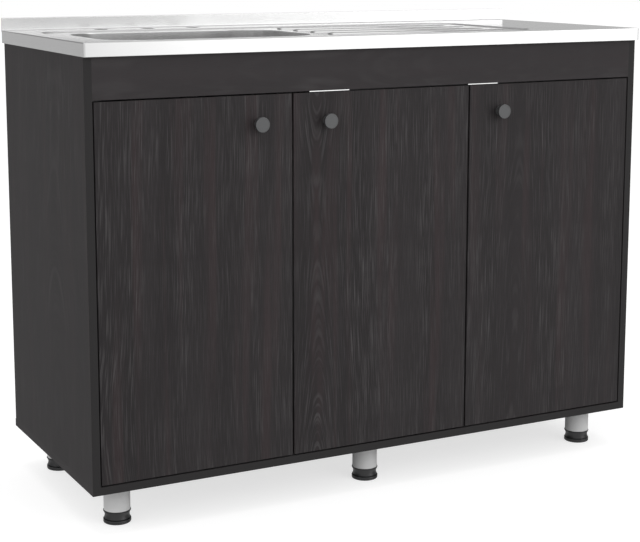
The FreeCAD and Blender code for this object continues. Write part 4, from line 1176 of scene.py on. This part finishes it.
@dataclass
class Screws:
    """Cross-recessed screws in place of the plain CAD ones."""

    finish: Material
    small: ScrewSize = ScrewSize(3.4 * MM, 1.8 * MM)
    knob: ScrewSize = ScrewSize(4 * MM, 2 * MM)
    carcass: ScrewSize = ScrewSize(5 * MM, 3.4 * MM)
    leg: ScrewSize = ScrewSize(3.4 * MM, 2 * MM)
    disc_share: float = 0.6
    dome_share: float = 0.4
    crown_share: float = 0.78
    slot_length: float = 1.15
    slot_width: float = 0.26
    head_sides: int = 32
    shank_sides: int = 16

    def __post_init__(self) -> None:
        """Make the tree that puts one screw on each point, turned to its facing direction."""
        graph = self.graph = GeometryGraph("cross_recess_screw")
        head = graph.size("head_radius", self.small.head_radius)
        height = graph.size("head_height", self.small.head_height)
        shank = graph.size("shank_radius", self.small.shank_radius)
        length = graph.size("length", 12 * MM)
        lower = graph.times(height, self.disc_share)
        disc = graph.shape("Cylinder", {"Vertices": self.head_sides, "Radius": head, "Depth": lower},
                           graph.combined(0.0, 0.0, graph.times(lower, 0.5)))
        cone = {"Vertices": self.head_sides, "Radius Top": graph.times(head, self.crown_share),
                "Radius Bottom": head, "Depth": graph.times(height, self.dome_share)}
        dome = graph.shape("Cone", cone, graph.combined(0.0, 0.0, lower))
        long, narrow = graph.times(head, self.slot_length), graph.times(head, self.slot_width)
        slot_place = graph.combined(0.0, 0.0, graph.times(height, 0.8))
        slots = [graph.shape("Cube", {"Size": graph.combined(x, y, height)}, slot_place)
                 for x, y in ((long, narrow), (narrow, long))]
        solid_head = graph.boolean("UNION", {"Mesh 2": [disc, dome]})
        cut_head = graph.boolean("DIFFERENCE", {"Mesh 1": solid_head, "Mesh 2": slots})
        shaft = graph.shape("Cylinder", {"Vertices": self.shank_sides, "Radius": shank, "Depth": length},
                            graph.combined(0.0, 0.0, graph.times(length, -0.5)))
        screw = graph.node("GeometryNodeJoinGeometry", {0: [cut_head, shaft]}).outputs[0]
        facing = graph.node("GeometryNodeInputNamedAttribute", {"Name": "facing"}, data_type="FLOAT_VECTOR")
        turn = graph.node("FunctionNodeAlignRotationToVector", {"Vector": facing.outputs[0]}, axis="Z")
        graph.finish(graph.instances(graph.entry.outputs["Geometry"], screw, turn.outputs[0]), self.finish)

    def replace(self, node: str, size: ScrewSize, body: str = Body.UNIT.value) -> None:
        """Put detailed screws where a CAD node has plain ones.

        Args:
            node: The CAD node with one or more screws.
            size: The measures of a screw.
            body: The body that it rides on.
        """
        points = []
        facings = []
        length = 0.0
        for solid in islands(node):
            box = Extent.of_points(solid)
            spans = box.high - box.low
            axis = max(range(3), key=lambda i: spans[i])
            tip = (box.low + box.high) / 2
            facing = self.facing(solid, tip, axis, size.head_radius)
            tip[axis] = box.high[axis] if facing[axis] > 0 else box.low[axis]
            points.append(tip - facing * size.head_height)
            facings.append(facing)
            length = spans[axis] - size.head_height
        data = bpy.data.meshes.new(f"screws_{node}")
        data.from_pydata(points, [], [])
        attribute = data.attributes.new("facing", "FLOAT_VECTOR", "POINT")
        attribute.data.foreach_set("vector", [part for facing in facings for part in facing])
        piece = bpy.data.objects.new(f"detailed_{node}", data)
        bpy.context.scene.collection.objects.link(piece)
        self.graph.run(piece, length=length, **vars(size))
        settle(piece, "zinc", node, body=body)

    @staticmethod
    def facing(points: list[Vector], middle: Vector, axis: int, head_radius: float) -> Vector:
        """The way a screw's head faces: towards the end where it is widest.

        Args:
            points: The screw's corner points.
            middle: The middle of its box.
            axis: The number of its long axis.
            head_radius: The radius of its head.

        Returns:
            The direction.
        """
        wide = []
        for point in points:
            away = point - middle
            along = away[axis]
            away[axis] = 0
            if away.length > head_radius * 0.9:
                wide.append(along)
        direction = Vector((0, 0, 0))
        direction[axis] = 1.0 if sum(wide) > 0 else -1.0
        return direction

    def build(self) -> None:
        """Replace every screw of the unit."""
        for name in DOOR_NAMES:
            self.replace(f"hinge_cup_screws_{name}", self.small, f"{name}_door")
            self.replace(f"knob_screw_{name}", self.knob, f"{name}_door")
        self.replace("hinge_plate_screws", self.small)
        self.replace("top_bracket_screws", self.small)
        self.replace("carcass_screws", self.carcass)
        self.replace("leg_screws", self.leg)


class RingPattern(GeometryGraph):
    """Repeats a small block or drill round an upright axis, joined to a turned piece or cut from it."""

    def __init__(self, material: Material, cuts: bool) -> None:
        """Make the tree, for a piece that stands on its own axis at the origin.

        Args:
            material: The piece's finish.
            cuts: Whether the repeated form is a drill, and not a block that is added.
        """
        super().__init__("ring_of_drills" if cuts else "ring_of_blocks")
        count = self.size("count", 12)
        radius = self.size("radius", 10 * MM)
        level = self.size("level", 0.0)
        tilt = self.size("tilt", 0.0)
        width, reach, height = (self.size(name, 3 * MM) for name in ("width", "reach", "height"))
        drill = ("Cylinder", {"Vertices": 16, "Radius": self.times(width, 0.5), "Depth": reach})
        block = ("Cube", {"Size": self.combined(reach, width, height)})
        tool = self.shape(*(drill if cuts else block), self.combined(radius, 0.0, level),
                          self.combined(0.0, tilt, 0.0))
        index = self.node("GeometryNodeInputIndex").outputs[0]
        turn = self.combined(0.0, 0.0, self.times(index, self.math("DIVIDE", math.tau, count)))
        points = self.node("GeometryNodePoints", {"Count": count}).outputs[0]
        ring = self.instances(points, tool, turn)
        piece = self.entry.outputs["Geometry"]
        if cuts:
            tools = self.node("GeometryNodeRealizeInstances", {0: ring}).outputs[0]
            whole = self.boolean("DIFFERENCE", {"Mesh 1": piece, "Mesh 2": tools})
        else:
            whole = self.node("GeometryNodeJoinGeometry", {0: [piece, ring]}).outputs[0]
        self.finish(whole, material)


# ---------------------------------------------------------------- waste


@dataclass
class Waste:
    """The bowl's waste: strainer, lift-up basket, gasket, nuts and tailpiece, all round one upright axis."""

    finishes: Finishes
    wall: float = 1.0 * MM
    play: float = 0.1 * MM
    cup_radius: float = 43.5 * MM
    cup_depth: float = 42 * MM
    flange_radius: float = 56 * MM
    outlet_radius: float = 21 * MM
    outlet_length: float = 22 * MM
    tail_radius: float = 19 * MM
    tail_wall: float = 1.2 * MM
    hole_width: float = 3.2 * MM
    gasket_rounding: float = 0.7 * MM
    thread_depth: float = 0.35 * MM
    thread_pitch: float = 2.0 * MM

    def __post_init__(self) -> None:
        """Read the axis and the level of the bowl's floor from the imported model."""
        box = Extent(*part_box("strainer_body"))
        self.axis = box.middle()
        self.floor = box.low.z + self.cup_depth + self.outlet_length
        self.outer = self.cup_radius + self.wall

    def add(self, node: str, slot: str, level: float, section: Profile, material: Material,
            patterns: Sequence[dict] = (), cuts: bool = False, closed: bool = True,
            body: str = Body.UNIT.value) -> None:
        """Turn a piece, add or cut what repeats round it, and put it on the drain's axis.

        Args:
            node: The CAD node that it stands for.
            slot: A material slot's name, handed on to settle.
            level: The height that the section's zero stands at.
            section: The half section.
            material: The finish.
            patterns: The sizes of each ring of blocks or drills.
            cuts: Whether the rings are drills.
            closed: Whether the section closes on itself.
            body: The body that the piece rides on.
        """
        piece = as_object(f"turned_{node}", turned_mesh(section, (0, 0, level), UP, 96, closed), material)
        if patterns:
            ring = RingPattern(material, cuts)
            for sizes in patterns:
                ring.run(piece, **sizes)
        piece.data.transform(Matrix.Translation(self.axis))
        settle(piece, slot, node, body=body)

    def thread(self, radius: float, low: float, high: float) -> Profile:
        """The ridges of a screw thread between two heights.

        Args:
            radius: The thread's outer radius.
            low: The lower height.
            high: The upper height.

        Returns:
            The points from low to high.
        """
        root, pitch = radius - self.thread_depth, self.thread_pitch
        made = []
        for number in range(int((high - low) / pitch)):
            start = low + number * pitch
            made += [(root, start), (root, start + 0.2 * pitch),
                     (radius, start + 0.5 * pitch), (radius, start + 0.7 * pitch)]
        return made + [(root, high)]

    def build(self) -> None:
        """Make the waste's pieces."""
        self.build_strainer()
        self.build_basket()
        self.build_gasket()
        self.build_lock_nut()
        self.build_tailpiece()

    def build_strainer(self) -> None:
        """The strainer: threaded outlet and cup, and a flange that lies on the bowl's floor."""
        cup, outer, flange, outlet = self.cup_radius, self.outer, self.flange_radius, self.outlet_radius
        bottom = -self.cup_depth
        end = bottom - self.outlet_length
        section = [(outlet - self.wall, end)] + self.thread(outlet, end, bottom - 4 * MM)
        section += [(outlet, bottom)] + near((outer, bottom), (-3, 7), (0, 9))
        section += self.thread(outer, bottom + 12 * MM, -4 * MM) + [(outer, 0.0)]
        section += near((flange, 0.0), (0, 0), (0, 0.3), (-0.6, 0.6)) + near((outer, 0.0), (4, 1.2), (0, 1.6))
        section += near((cup, 0.0), (0.4, 1.3), (0, 0.6)) + near((cup, bottom), (0, 11), (-2, 8.4))
        section += near((outlet, bottom), (4, 2)) + near((outlet - self.wall, bottom), (0, 0.6))
        self.add("strainer_body", "steel", self.floor, section, self.finishes.waste_steel)

    def build_basket(self) -> None:
        """The lift-up basket: a perforated cup with a rolled rim and a knob to lift it by."""
        box = Extent(*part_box("strainer_basket"))
        radius, base = box.radius, self.outlet_radius
        foot = box.low.z - self.floor
        shoulder, shoulder_z = radius - 4 * MM, -8 * MM
        section = [(0.0, foot)] + near((base, foot), (-1, 0), (0, 0.5)) + [(shoulder, shoulder_z)]
        section += near((radius, 0.0), (-0.3, -2.4), (0, -1.6), (0, -0.7), (-0.5, -0.1), (-1.3, 0),
                        (-2.2, -0.4), (-5.6, -7))
        section += near((base, foot), (-0.8, 1.5), (-2, 1.2)) + near((0.0, foot), (3.6, 1.2), (2.5, 2.2))
        section += near((0.0, 0.0), (2.5, -4.6), (3.2, -3.4), (6.2, -2.4), (7, -1.4), (7, 2), (6.4, 3.2),
                        (4.4, 4.3), (0, 4.9))
        wall_rings = [{"count": count, "radius": base + (shoulder - base) * share - 0.4 * MM,
                       "level": self.floor + foot + (shoulder_z - foot) * share, "tilt": math.radians(135),
                       "reach": 7 * MM, "width": self.hole_width}
                      for share, count in ((0.20, 20), (0.50, 24), (0.80, 28))]
        floor_rings = [{"count": count, "radius": ring, "level": self.floor + foot, "tilt": 0.0,
                        "reach": 6 * MM, "width": self.hole_width}
                       for ring, count in ((8 * MM, 8), (14 * MM, 14))]
        self.add("strainer_basket", "basket_steel", self.floor, section, self.finishes.waste_steel,
                 wall_rings + floor_rings, cuts=True, closed=False, body=Body.BASKET.value)

    def build_gasket(self) -> None:
        """The black rubber ring under the bowl, with rounded edges."""
        box = Extent(*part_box("strainer_gasket"))
        inner, thick, rounding = self.outer + self.play, box.height, self.gasket_rounding
        section = [(inner, 0.0)] + arc((box.radius - rounding, rounding), rounding, -90, 0, 4)
        section += arc((box.radius - rounding, thick - rounding), rounding, 0, 90, 4) + [(inner, thick)]
        self.add("strainer_gasket", "rubber", box.low.z, section, self.finishes.rubber)

    def build_lock_nut(self) -> None:
        """The large ring nut that clamps the strainer, with grip ribs."""
        box = Extent(*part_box("strainer_nut"))
        inner, outer, thick = self.outer + self.play, box.radius, box.height
        body = outer - 6.6 * MM
        section = [(inner, 0.0)] + near((body, 0.0), (-0.6, 0), (0, 0.6))
        section += near((body, thick), (0, -3.6), (0.6, -3))
        section += near((outer, thick), (-0.6, -3), (0, -2.4), (0, -0.5), (-0.5, 0)) + [(inner, thick)]
        rib = thick - 3.4 * MM
        ribs = {"count": 16, "radius": body, "level": box.low.z + rib / 2 + 0.3 * MM, "width": 3 * MM,
                "reach": 3 * MM, "height": rib}
        self.add("strainer_nut", "white_plastic", box.low.z, section, self.finishes.white, [ribs])

    def build_tailpiece(self) -> None:
        """The tube that goes to the trap, and the ribbed nut that holds it."""
        radius, outlet = self.tail_radius, self.outlet_radius
        inner = radius - self.tail_wall
        box = Extent(*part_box("tailpiece"))
        end = -box.height
        section = [(inner, end)] + near((radius, end), (-0.3, 0), (0, 0.4))
        section += near((radius, 0.0), (0, -17), (0.9, -16.4), (1.2, -15.5), (0.9, -14.6), (0, -14), (0, -2))
        section += near((outlet, 0.0), (0, -2), (0, 0)) + [(inner, 0.0)]
        self.add("tailpiece", "white_plastic", box.high.z, section, self.finishes.white)

        box = Extent(*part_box("tailpiece_nut"))
        outer, half = box.radius, box.height / 2
        body = outer - 1.3 * MM
        tube_bore, outlet_bore = radius + self.play, outlet + self.play
        section = [(tube_bore, -half)] + near((body, -half), (-0.8, 0), (0, 0.8))
        section += near((body, half), (0, -2.2))
        section += near((outer, half), (0, -2), (0, -0.4), (-0.4, 0)) + [(outlet_bore, half)]
        section += [(outlet_bore, -2 * MM), (tube_bore, -2 * MM)]
        rib = 2 * half - 3.2 * MM
        ribs = {"count": 24, "radius": body, "level": box.low.z + rib / 2 + 0.8 * MM, "width": 1.8 * MM,
                "reach": 2.2 * MM, "height": rib}
        self.add("tailpiece_nut", "white_plastic", (box.low.z + box.high.z) / 2, section, self.finishes.white,
                 [ribs])


# ---------------------------------------------------------------- legs


@dataclass
class Legs:
    """The six legs: grey tubes on black levelling feet with threaded stems."""

    finishes: Finishes
    wall: float = 1.2 * MM
    tube_bead: float = 0.5 * MM
    foot_radius: float = 26 * MM
    foot_height: float = 24 * MM
    foot_rounding: float = 2 * MM
    neck_radius: float = 23.2 * MM
    waist_radius: float = 10.5 * MM
    disc_height: float = 7.5 * MM
    disc_rounding: float = 0.8 * MM
    stem_radius: float = 5 * MM
    stem_length: float = 26 * MM
    stem_sides: int = 24
    thread_depth: float = 0.6 * MM
    thread_pitch: float = 2.0 * MM
    thread_steps: int = 8
    socket_bore: float = 1.0 * MM
    plug_bore: float = 5.4 * MM
    chamfer: float = 0.8 * MM

    def build(self) -> None:
        """Make every leg's pieces."""
        for name in LEG_NAMES:
            box = Extent(*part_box(f"leg_tube_{name}"))
            self.build_tube(name, box)
            self.build_foot(name, box.middle())
        self.build_fillings("leg_sockets", self.socket_bore)
        self.build_fillings("leg_plugs", self.plug_bore)

    def build_tube(self, name: str, box: Extent) -> None:
        """One tube, its lower edge turned over a little.

        Args:
            name: The leg's name.
            box: The box of its tube.
        """
        radius, low, high, bead = box.radius, box.low.z, box.high.z, self.tube_bead
        section = [(radius - self.wall, low)] + arc((radius - bead, low + bead), bead, -90, 0, 4)
        section += near((radius, low), (0, 1.4), (-0.25, 1.8)) + near((radius, high), (-0.25, 0))
        section.append((radius - self.wall, high))
        mesh = turned_mesh(section, box.middle(), UP, closed=True)
        settle(as_object(f"turned_tube_{name}", mesh, self.finishes.tube), "tube_metal", f"leg_tube_{name}")

    def foot_section(self) -> Profile:
        """Half section of a foot.

        Returns:
            The points from the middle of its underside to the root of its stem.
        """
        radius, disc, neck, top = self.foot_radius, self.disc_height, self.neck_radius, self.foot_height
        low_round, high_round, waist = self.foot_rounding, self.disc_rounding, self.waist_radius
        section = near((0.0, 0.0), (0, 0.7), (17, 0.7), (18, 0))
        section += arc((radius - low_round, low_round), low_round, -90, 0, 6)
        section += near((radius, 0.0), (0, 3.9), (-0.5, 4.2), (-0.5, 4.8), (0, 5.1))
        section += arc((radius - high_round, disc - high_round), high_round, 0, 90, 4)
        section += near((neck, disc), (-0.6, 0), (-0.6, 1.4), (1.4, 1.8))
        section += arc((neck + waist, (disc + top) / 2 - 0.8 * MM), waist, 208, 142, 10)[1:-1]
        section += near((radius, top), (-1.2, -2.1), (-0.3, -1.7), (0, -1.3), (0, -0.4), (-0.4, 0), (-1.4, 0),
                        (-1.8, -0.4))
        return section + near((0.0, top), (9, -0.4), (7, 0)) + [(self.stem_radius, top)]

    def build_foot(self, name: str, centre: Vector) -> None:
        """One foot with its stem, at a leg's centre."""
        mesh = turned_mesh(self.foot_section(), centre, UP)
        self.add_stem(mesh, centre)
        piece = as_object(f"turned_foot_{name}", mesh, self.finishes.black)
        settle(piece, "black_plastic", f"foot_{name}", body=f"{name}_foot")

    def add_stem(self, mesh: BMesh, centre: Vector) -> None:
        """Add the stem with its helical thread to a foot.

        Args:
            mesh: The foot, which gets the stem.
            centre: The leg's centre.
        """
        steps, sides = self.thread_steps, self.stem_sides
        count = int(self.stem_length / self.thread_pitch * steps)
        rings = []
        for number in range(count + 1):
            height = self.foot_height + self.stem_length * number / count
            fade = min(1.0, number / steps, (count - number) / steps)
            ring = []
            for side in range(sides):
                ridge = abs(2 * ((number / steps - side / sides) % 1.0) - 1)
                radius = self.stem_radius - self.thread_depth * (1 - ridge * fade)
                angle = math.tau * side / sides
                ring.append((centre.x + radius * math.cos(angle),
                             centre.y + radius * math.sin(angle), height))
            rings.append(ring)
        mesh.faces.new(loft(mesh, rings)[-1])

    def build_fillings(self, node: str, bore: float) -> None:
        """The plastic fillings at one end of the six tubes, with a chamfer, in one piece.

        Args:
            node: The CAD node with the six fillings.
            bore: The radius of their bore.
        """
        mesh = bmesh.new()
        for points in islands(node):
            box = Extent.of_points(points)
            radius, height, chamfer = box.radius, box.height, self.chamfer
            section = [(bore, 0.0), (radius - chamfer, 0.0), (radius, chamfer), (radius, height - chamfer),
                       (radius - chamfer, height), (bore, height)]
            turned_mesh(section, box.middle(box.low.z), UP, 48, closed=True, into=mesh)
        settle(as_object(f"turned_{node}", mesh, self.finishes.black), "black_plastic", node)


# ---------------------------------------------------------------- studio


@dataclass(frozen=True)
class Viewpoint:
    """The photograph's camera."""

    name: str = "photo_camera"
    place: Place = (-1.4550, -2.7541, 1.0400)
    turn: float = -27.431
    pitch: float = 8.842
    lens: float = 86.029
    sensor: float = 36.0
    shift: Point2 = (0.0067, -0.12)
    reach: Point2 = (0.05, 60.0)

    def build(self) -> None:
        """Make the camera and set it as the scene's."""
        data = bpy.data.cameras.new(self.name)
        data.lens = self.lens
        data.sensor_width = self.sensor
        data.shift_x, data.shift_y = self.shift
        data.clip_start, data.clip_end = self.reach
        camera = bpy.data.objects.new(self.name, data)
        camera.location = self.place
        camera.rotation_euler = (math.radians(90 - self.pitch), 0, math.radians(self.turn))
        bpy.context.scene.collection.objects.link(camera)
        bpy.context.scene.camera = camera


@dataclass(frozen=True)
class Softbox:
    """A soft area lamp that looks at the unit's middle line, and that reflections don't show."""

    name: str
    place: Place
    aim_height: float
    size: Point2
    power: float

    def build(self) -> None:
        """Add the lamp."""
        data = bpy.data.lights.new(self.name, "AREA")
        data.shape = "RECTANGLE"
        data.size, data.size_y = self.size
        data.energy = self.power
        lamp = bpy.data.objects.new(self.name, data)
        lamp.location = self.place
        way = Vector((0.0, 0.0, self.aim_height)) - Vector(self.place)
        lamp.rotation_euler = way.to_track_quat("-Z", "Y").to_euler()
        lamp.visible_glossy = False
        bpy.context.scene.collection.objects.link(lamp)


@dataclass(frozen=True)
class Studio:
    """A white room: floor, world and soft lamps.

    Pairs are the limits of a ramp over a part of the direction that a ray leaves in.
    """

    room_light: float = 0.75
    floor_tint: float = 0.50
    floor_glow: float = 0.68
    behind: float = 0.55
    band_behind: float = 0.24
    beside: float = 0.35
    overhead: float = 0.45
    ahead_left: float = 0.90
    ahead_low: float = 1.75
    ahead_high: float = 2.4
    forward: Place = (0.90, -0.44, 0.0)
    forward_ramp: Point2 = (0.65, 0.78)
    raised_ramp: Point2 = (-0.05, 0.10)
    nearer_ramp: Point2 = (-0.3, 0.3)
    band_foot: Point2 = (0.05, 0.14)
    band_top: Point2 = (0.38, 0.55)
    band_depth: Point2 = (0.1, 0.5)
    overhead_ramp: Point2 = (0.5, 0.9)
    right_ramp: Point2 = (0.64, 0.82)
    softboxes: tuple[Softbox, ...] = (
        Softbox("left_softbox", (-3.4, -1.2, 1.9), 0.5, (2.4, 2.4), 19),
        Softbox("front_softbox", (1.6, -3.6, 2.2), 0.5, (3.0, 2.0), 38),
        Softbox("top_softbox", (0.0, 0.2, 3.4), 0.6, (3.0, 2.0), 30))

    def build(self) -> None:
        """Make the floor, the world and the lamps."""
        self.build_floor()
        self.build_world()
        for softbox in self.softboxes:
            softbox.build()
        bpy.context.scene.view_settings.view_transform = "Standard"

    @staticmethod
    def seen_plainly(graph: Graph, path: Node) -> NodeSocket:
        """1 for what the camera sees directly or through glass, and 0 for other light paths."""
        return graph.math("MAXIMUM", path.outputs["Is Camera Ray"], path.outputs["Is Transmission Ray"])

    def build_floor(self) -> None:
        """Lay a wide white floor that keeps the unit's soft shadow."""
        mesh = bmesh.new()
        bmesh.ops.create_grid(mesh, x_segments=8, y_segments=8, size=20.0)
        material = bpy.data.materials.new("white_floor")
        material.use_nodes = True
        graph = Graph(material.node_tree)
        graph.tree.nodes.clear()
        seen = self.seen_plainly(graph, graph.node("ShaderNodeLightPath"))
        glow = graph.node("ShaderNodeEmission", {"Strength": graph.times(seen, self.floor_glow)})
        paint = graph.node("ShaderNodeBsdfDiffuse", {"Color": (*(self.floor_tint,) * 3, 1.0)})
        both = graph.node("ShaderNodeAddShader", {0: glow.outputs[0], 1: paint.outputs[0]})
        graph.node("ShaderNodeOutputMaterial", {"Surface": both.outputs[0]})
        floor = as_object("floor", mesh, material)
        floor.visible_glossy = False

    def reflected_level(self, graph: Graph) -> NodeSocket:
        """The room's brightness in reflections: bright ahead at the right, and greyer behind.

        Args:
            graph: The world's graph.

        Returns:
            The brightness's socket.
        """
        direction = graph.node("ShaderNodeTexCoord").outputs["Generated"]
        forward = graph.node("ShaderNodeVectorMath", {0: direction, 1: self.forward}, operation="DOT_PRODUCT")
        axes = graph.split(direction)
        sideways, depth, upward = (axes[name] for name in "XYZ")

        raised = graph.ramp(upward, *self.raised_ramp)
        ahead = graph.scaled(raised, self.ahead_high - self.ahead_low, self.ahead_low)
        to_right = graph.ramp(sideways, *self.right_ramp)
        ahead = graph.scaled(to_right, graph.math("SUBTRACT", self.beside, ahead), ahead)

        nearer = graph.ramp(graph.times(depth, -1.0), *self.nearer_ramp)
        grey = graph.scaled(nearer, self.ahead_left - self.behind, self.behind)
        below_top = graph.math("SUBTRACT", 1.0, graph.ramp(upward, *self.band_top))
        band = graph.times(graph.ramp(upward, *self.band_foot), below_top)
        band = graph.times(band, graph.ramp(depth, *self.band_depth))
        grey = graph.scaled(band, self.band_behind - self.behind, grey)
        grey = graph.scaled(graph.ramp(upward, *self.overhead_ramp), self.overhead, grey)
        share = graph.ramp(forward.outputs["Value"], *self.forward_ramp)
        return graph.scaled(share, graph.math("SUBTRACT", ahead, grey), grey)

    def build_world(self) -> None:
        """Light the room evenly, with its own brightness in reflections and plain white to the camera."""
        world = bpy.data.worlds.new("white_room")
        world.use_nodes = True
        bpy.context.scene.world = world
        graph = Graph(world.node_tree)
        graph.tree.nodes.clear()
        path = graph.node("ShaderNodeLightPath")
        room, mirror, backdrop = (
            graph.node("ShaderNodeBackground", {"Color": (1.0,) * 4, "Strength": level}).outputs[0]
            for level in (self.room_light, self.reflected_level(graph), 1.0))
        lit = graph.node("ShaderNodeMixShader", {0: path.outputs["Is Glossy Ray"], 1: room, 2: mirror})
        shown = self.seen_plainly(graph, path)
        whole = graph.node("ShaderNodeMixShader", {0: shown, 1: lit.outputs[0], 2: backdrop})
        graph.node("ShaderNodeOutputWorld", {"Surface": whole.outputs[0]})


def corners(box: tuple[Vector, Vector]) -> list[list[float]]:
    """A box's two corners as plain lists."""
    return [list(box[0]), list(box[1])]


def main() -> None:
    """Load the frame, and build and dress every piece."""
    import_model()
    Viewpoint().build()
    finishes = Finishes()

    PressedTop(finishes.steel, finishes.cut_edge).build()
    for board in BOARDS:
        board.dress()
    Knobs(finishes.knob).build()
    Waste(finishes).build()
    Legs(finishes).build()
    Fittings(finishes).build()
    Screws(finishes.zinc).build()

    Studio().build()


if __name__ == "__main__":
    main()
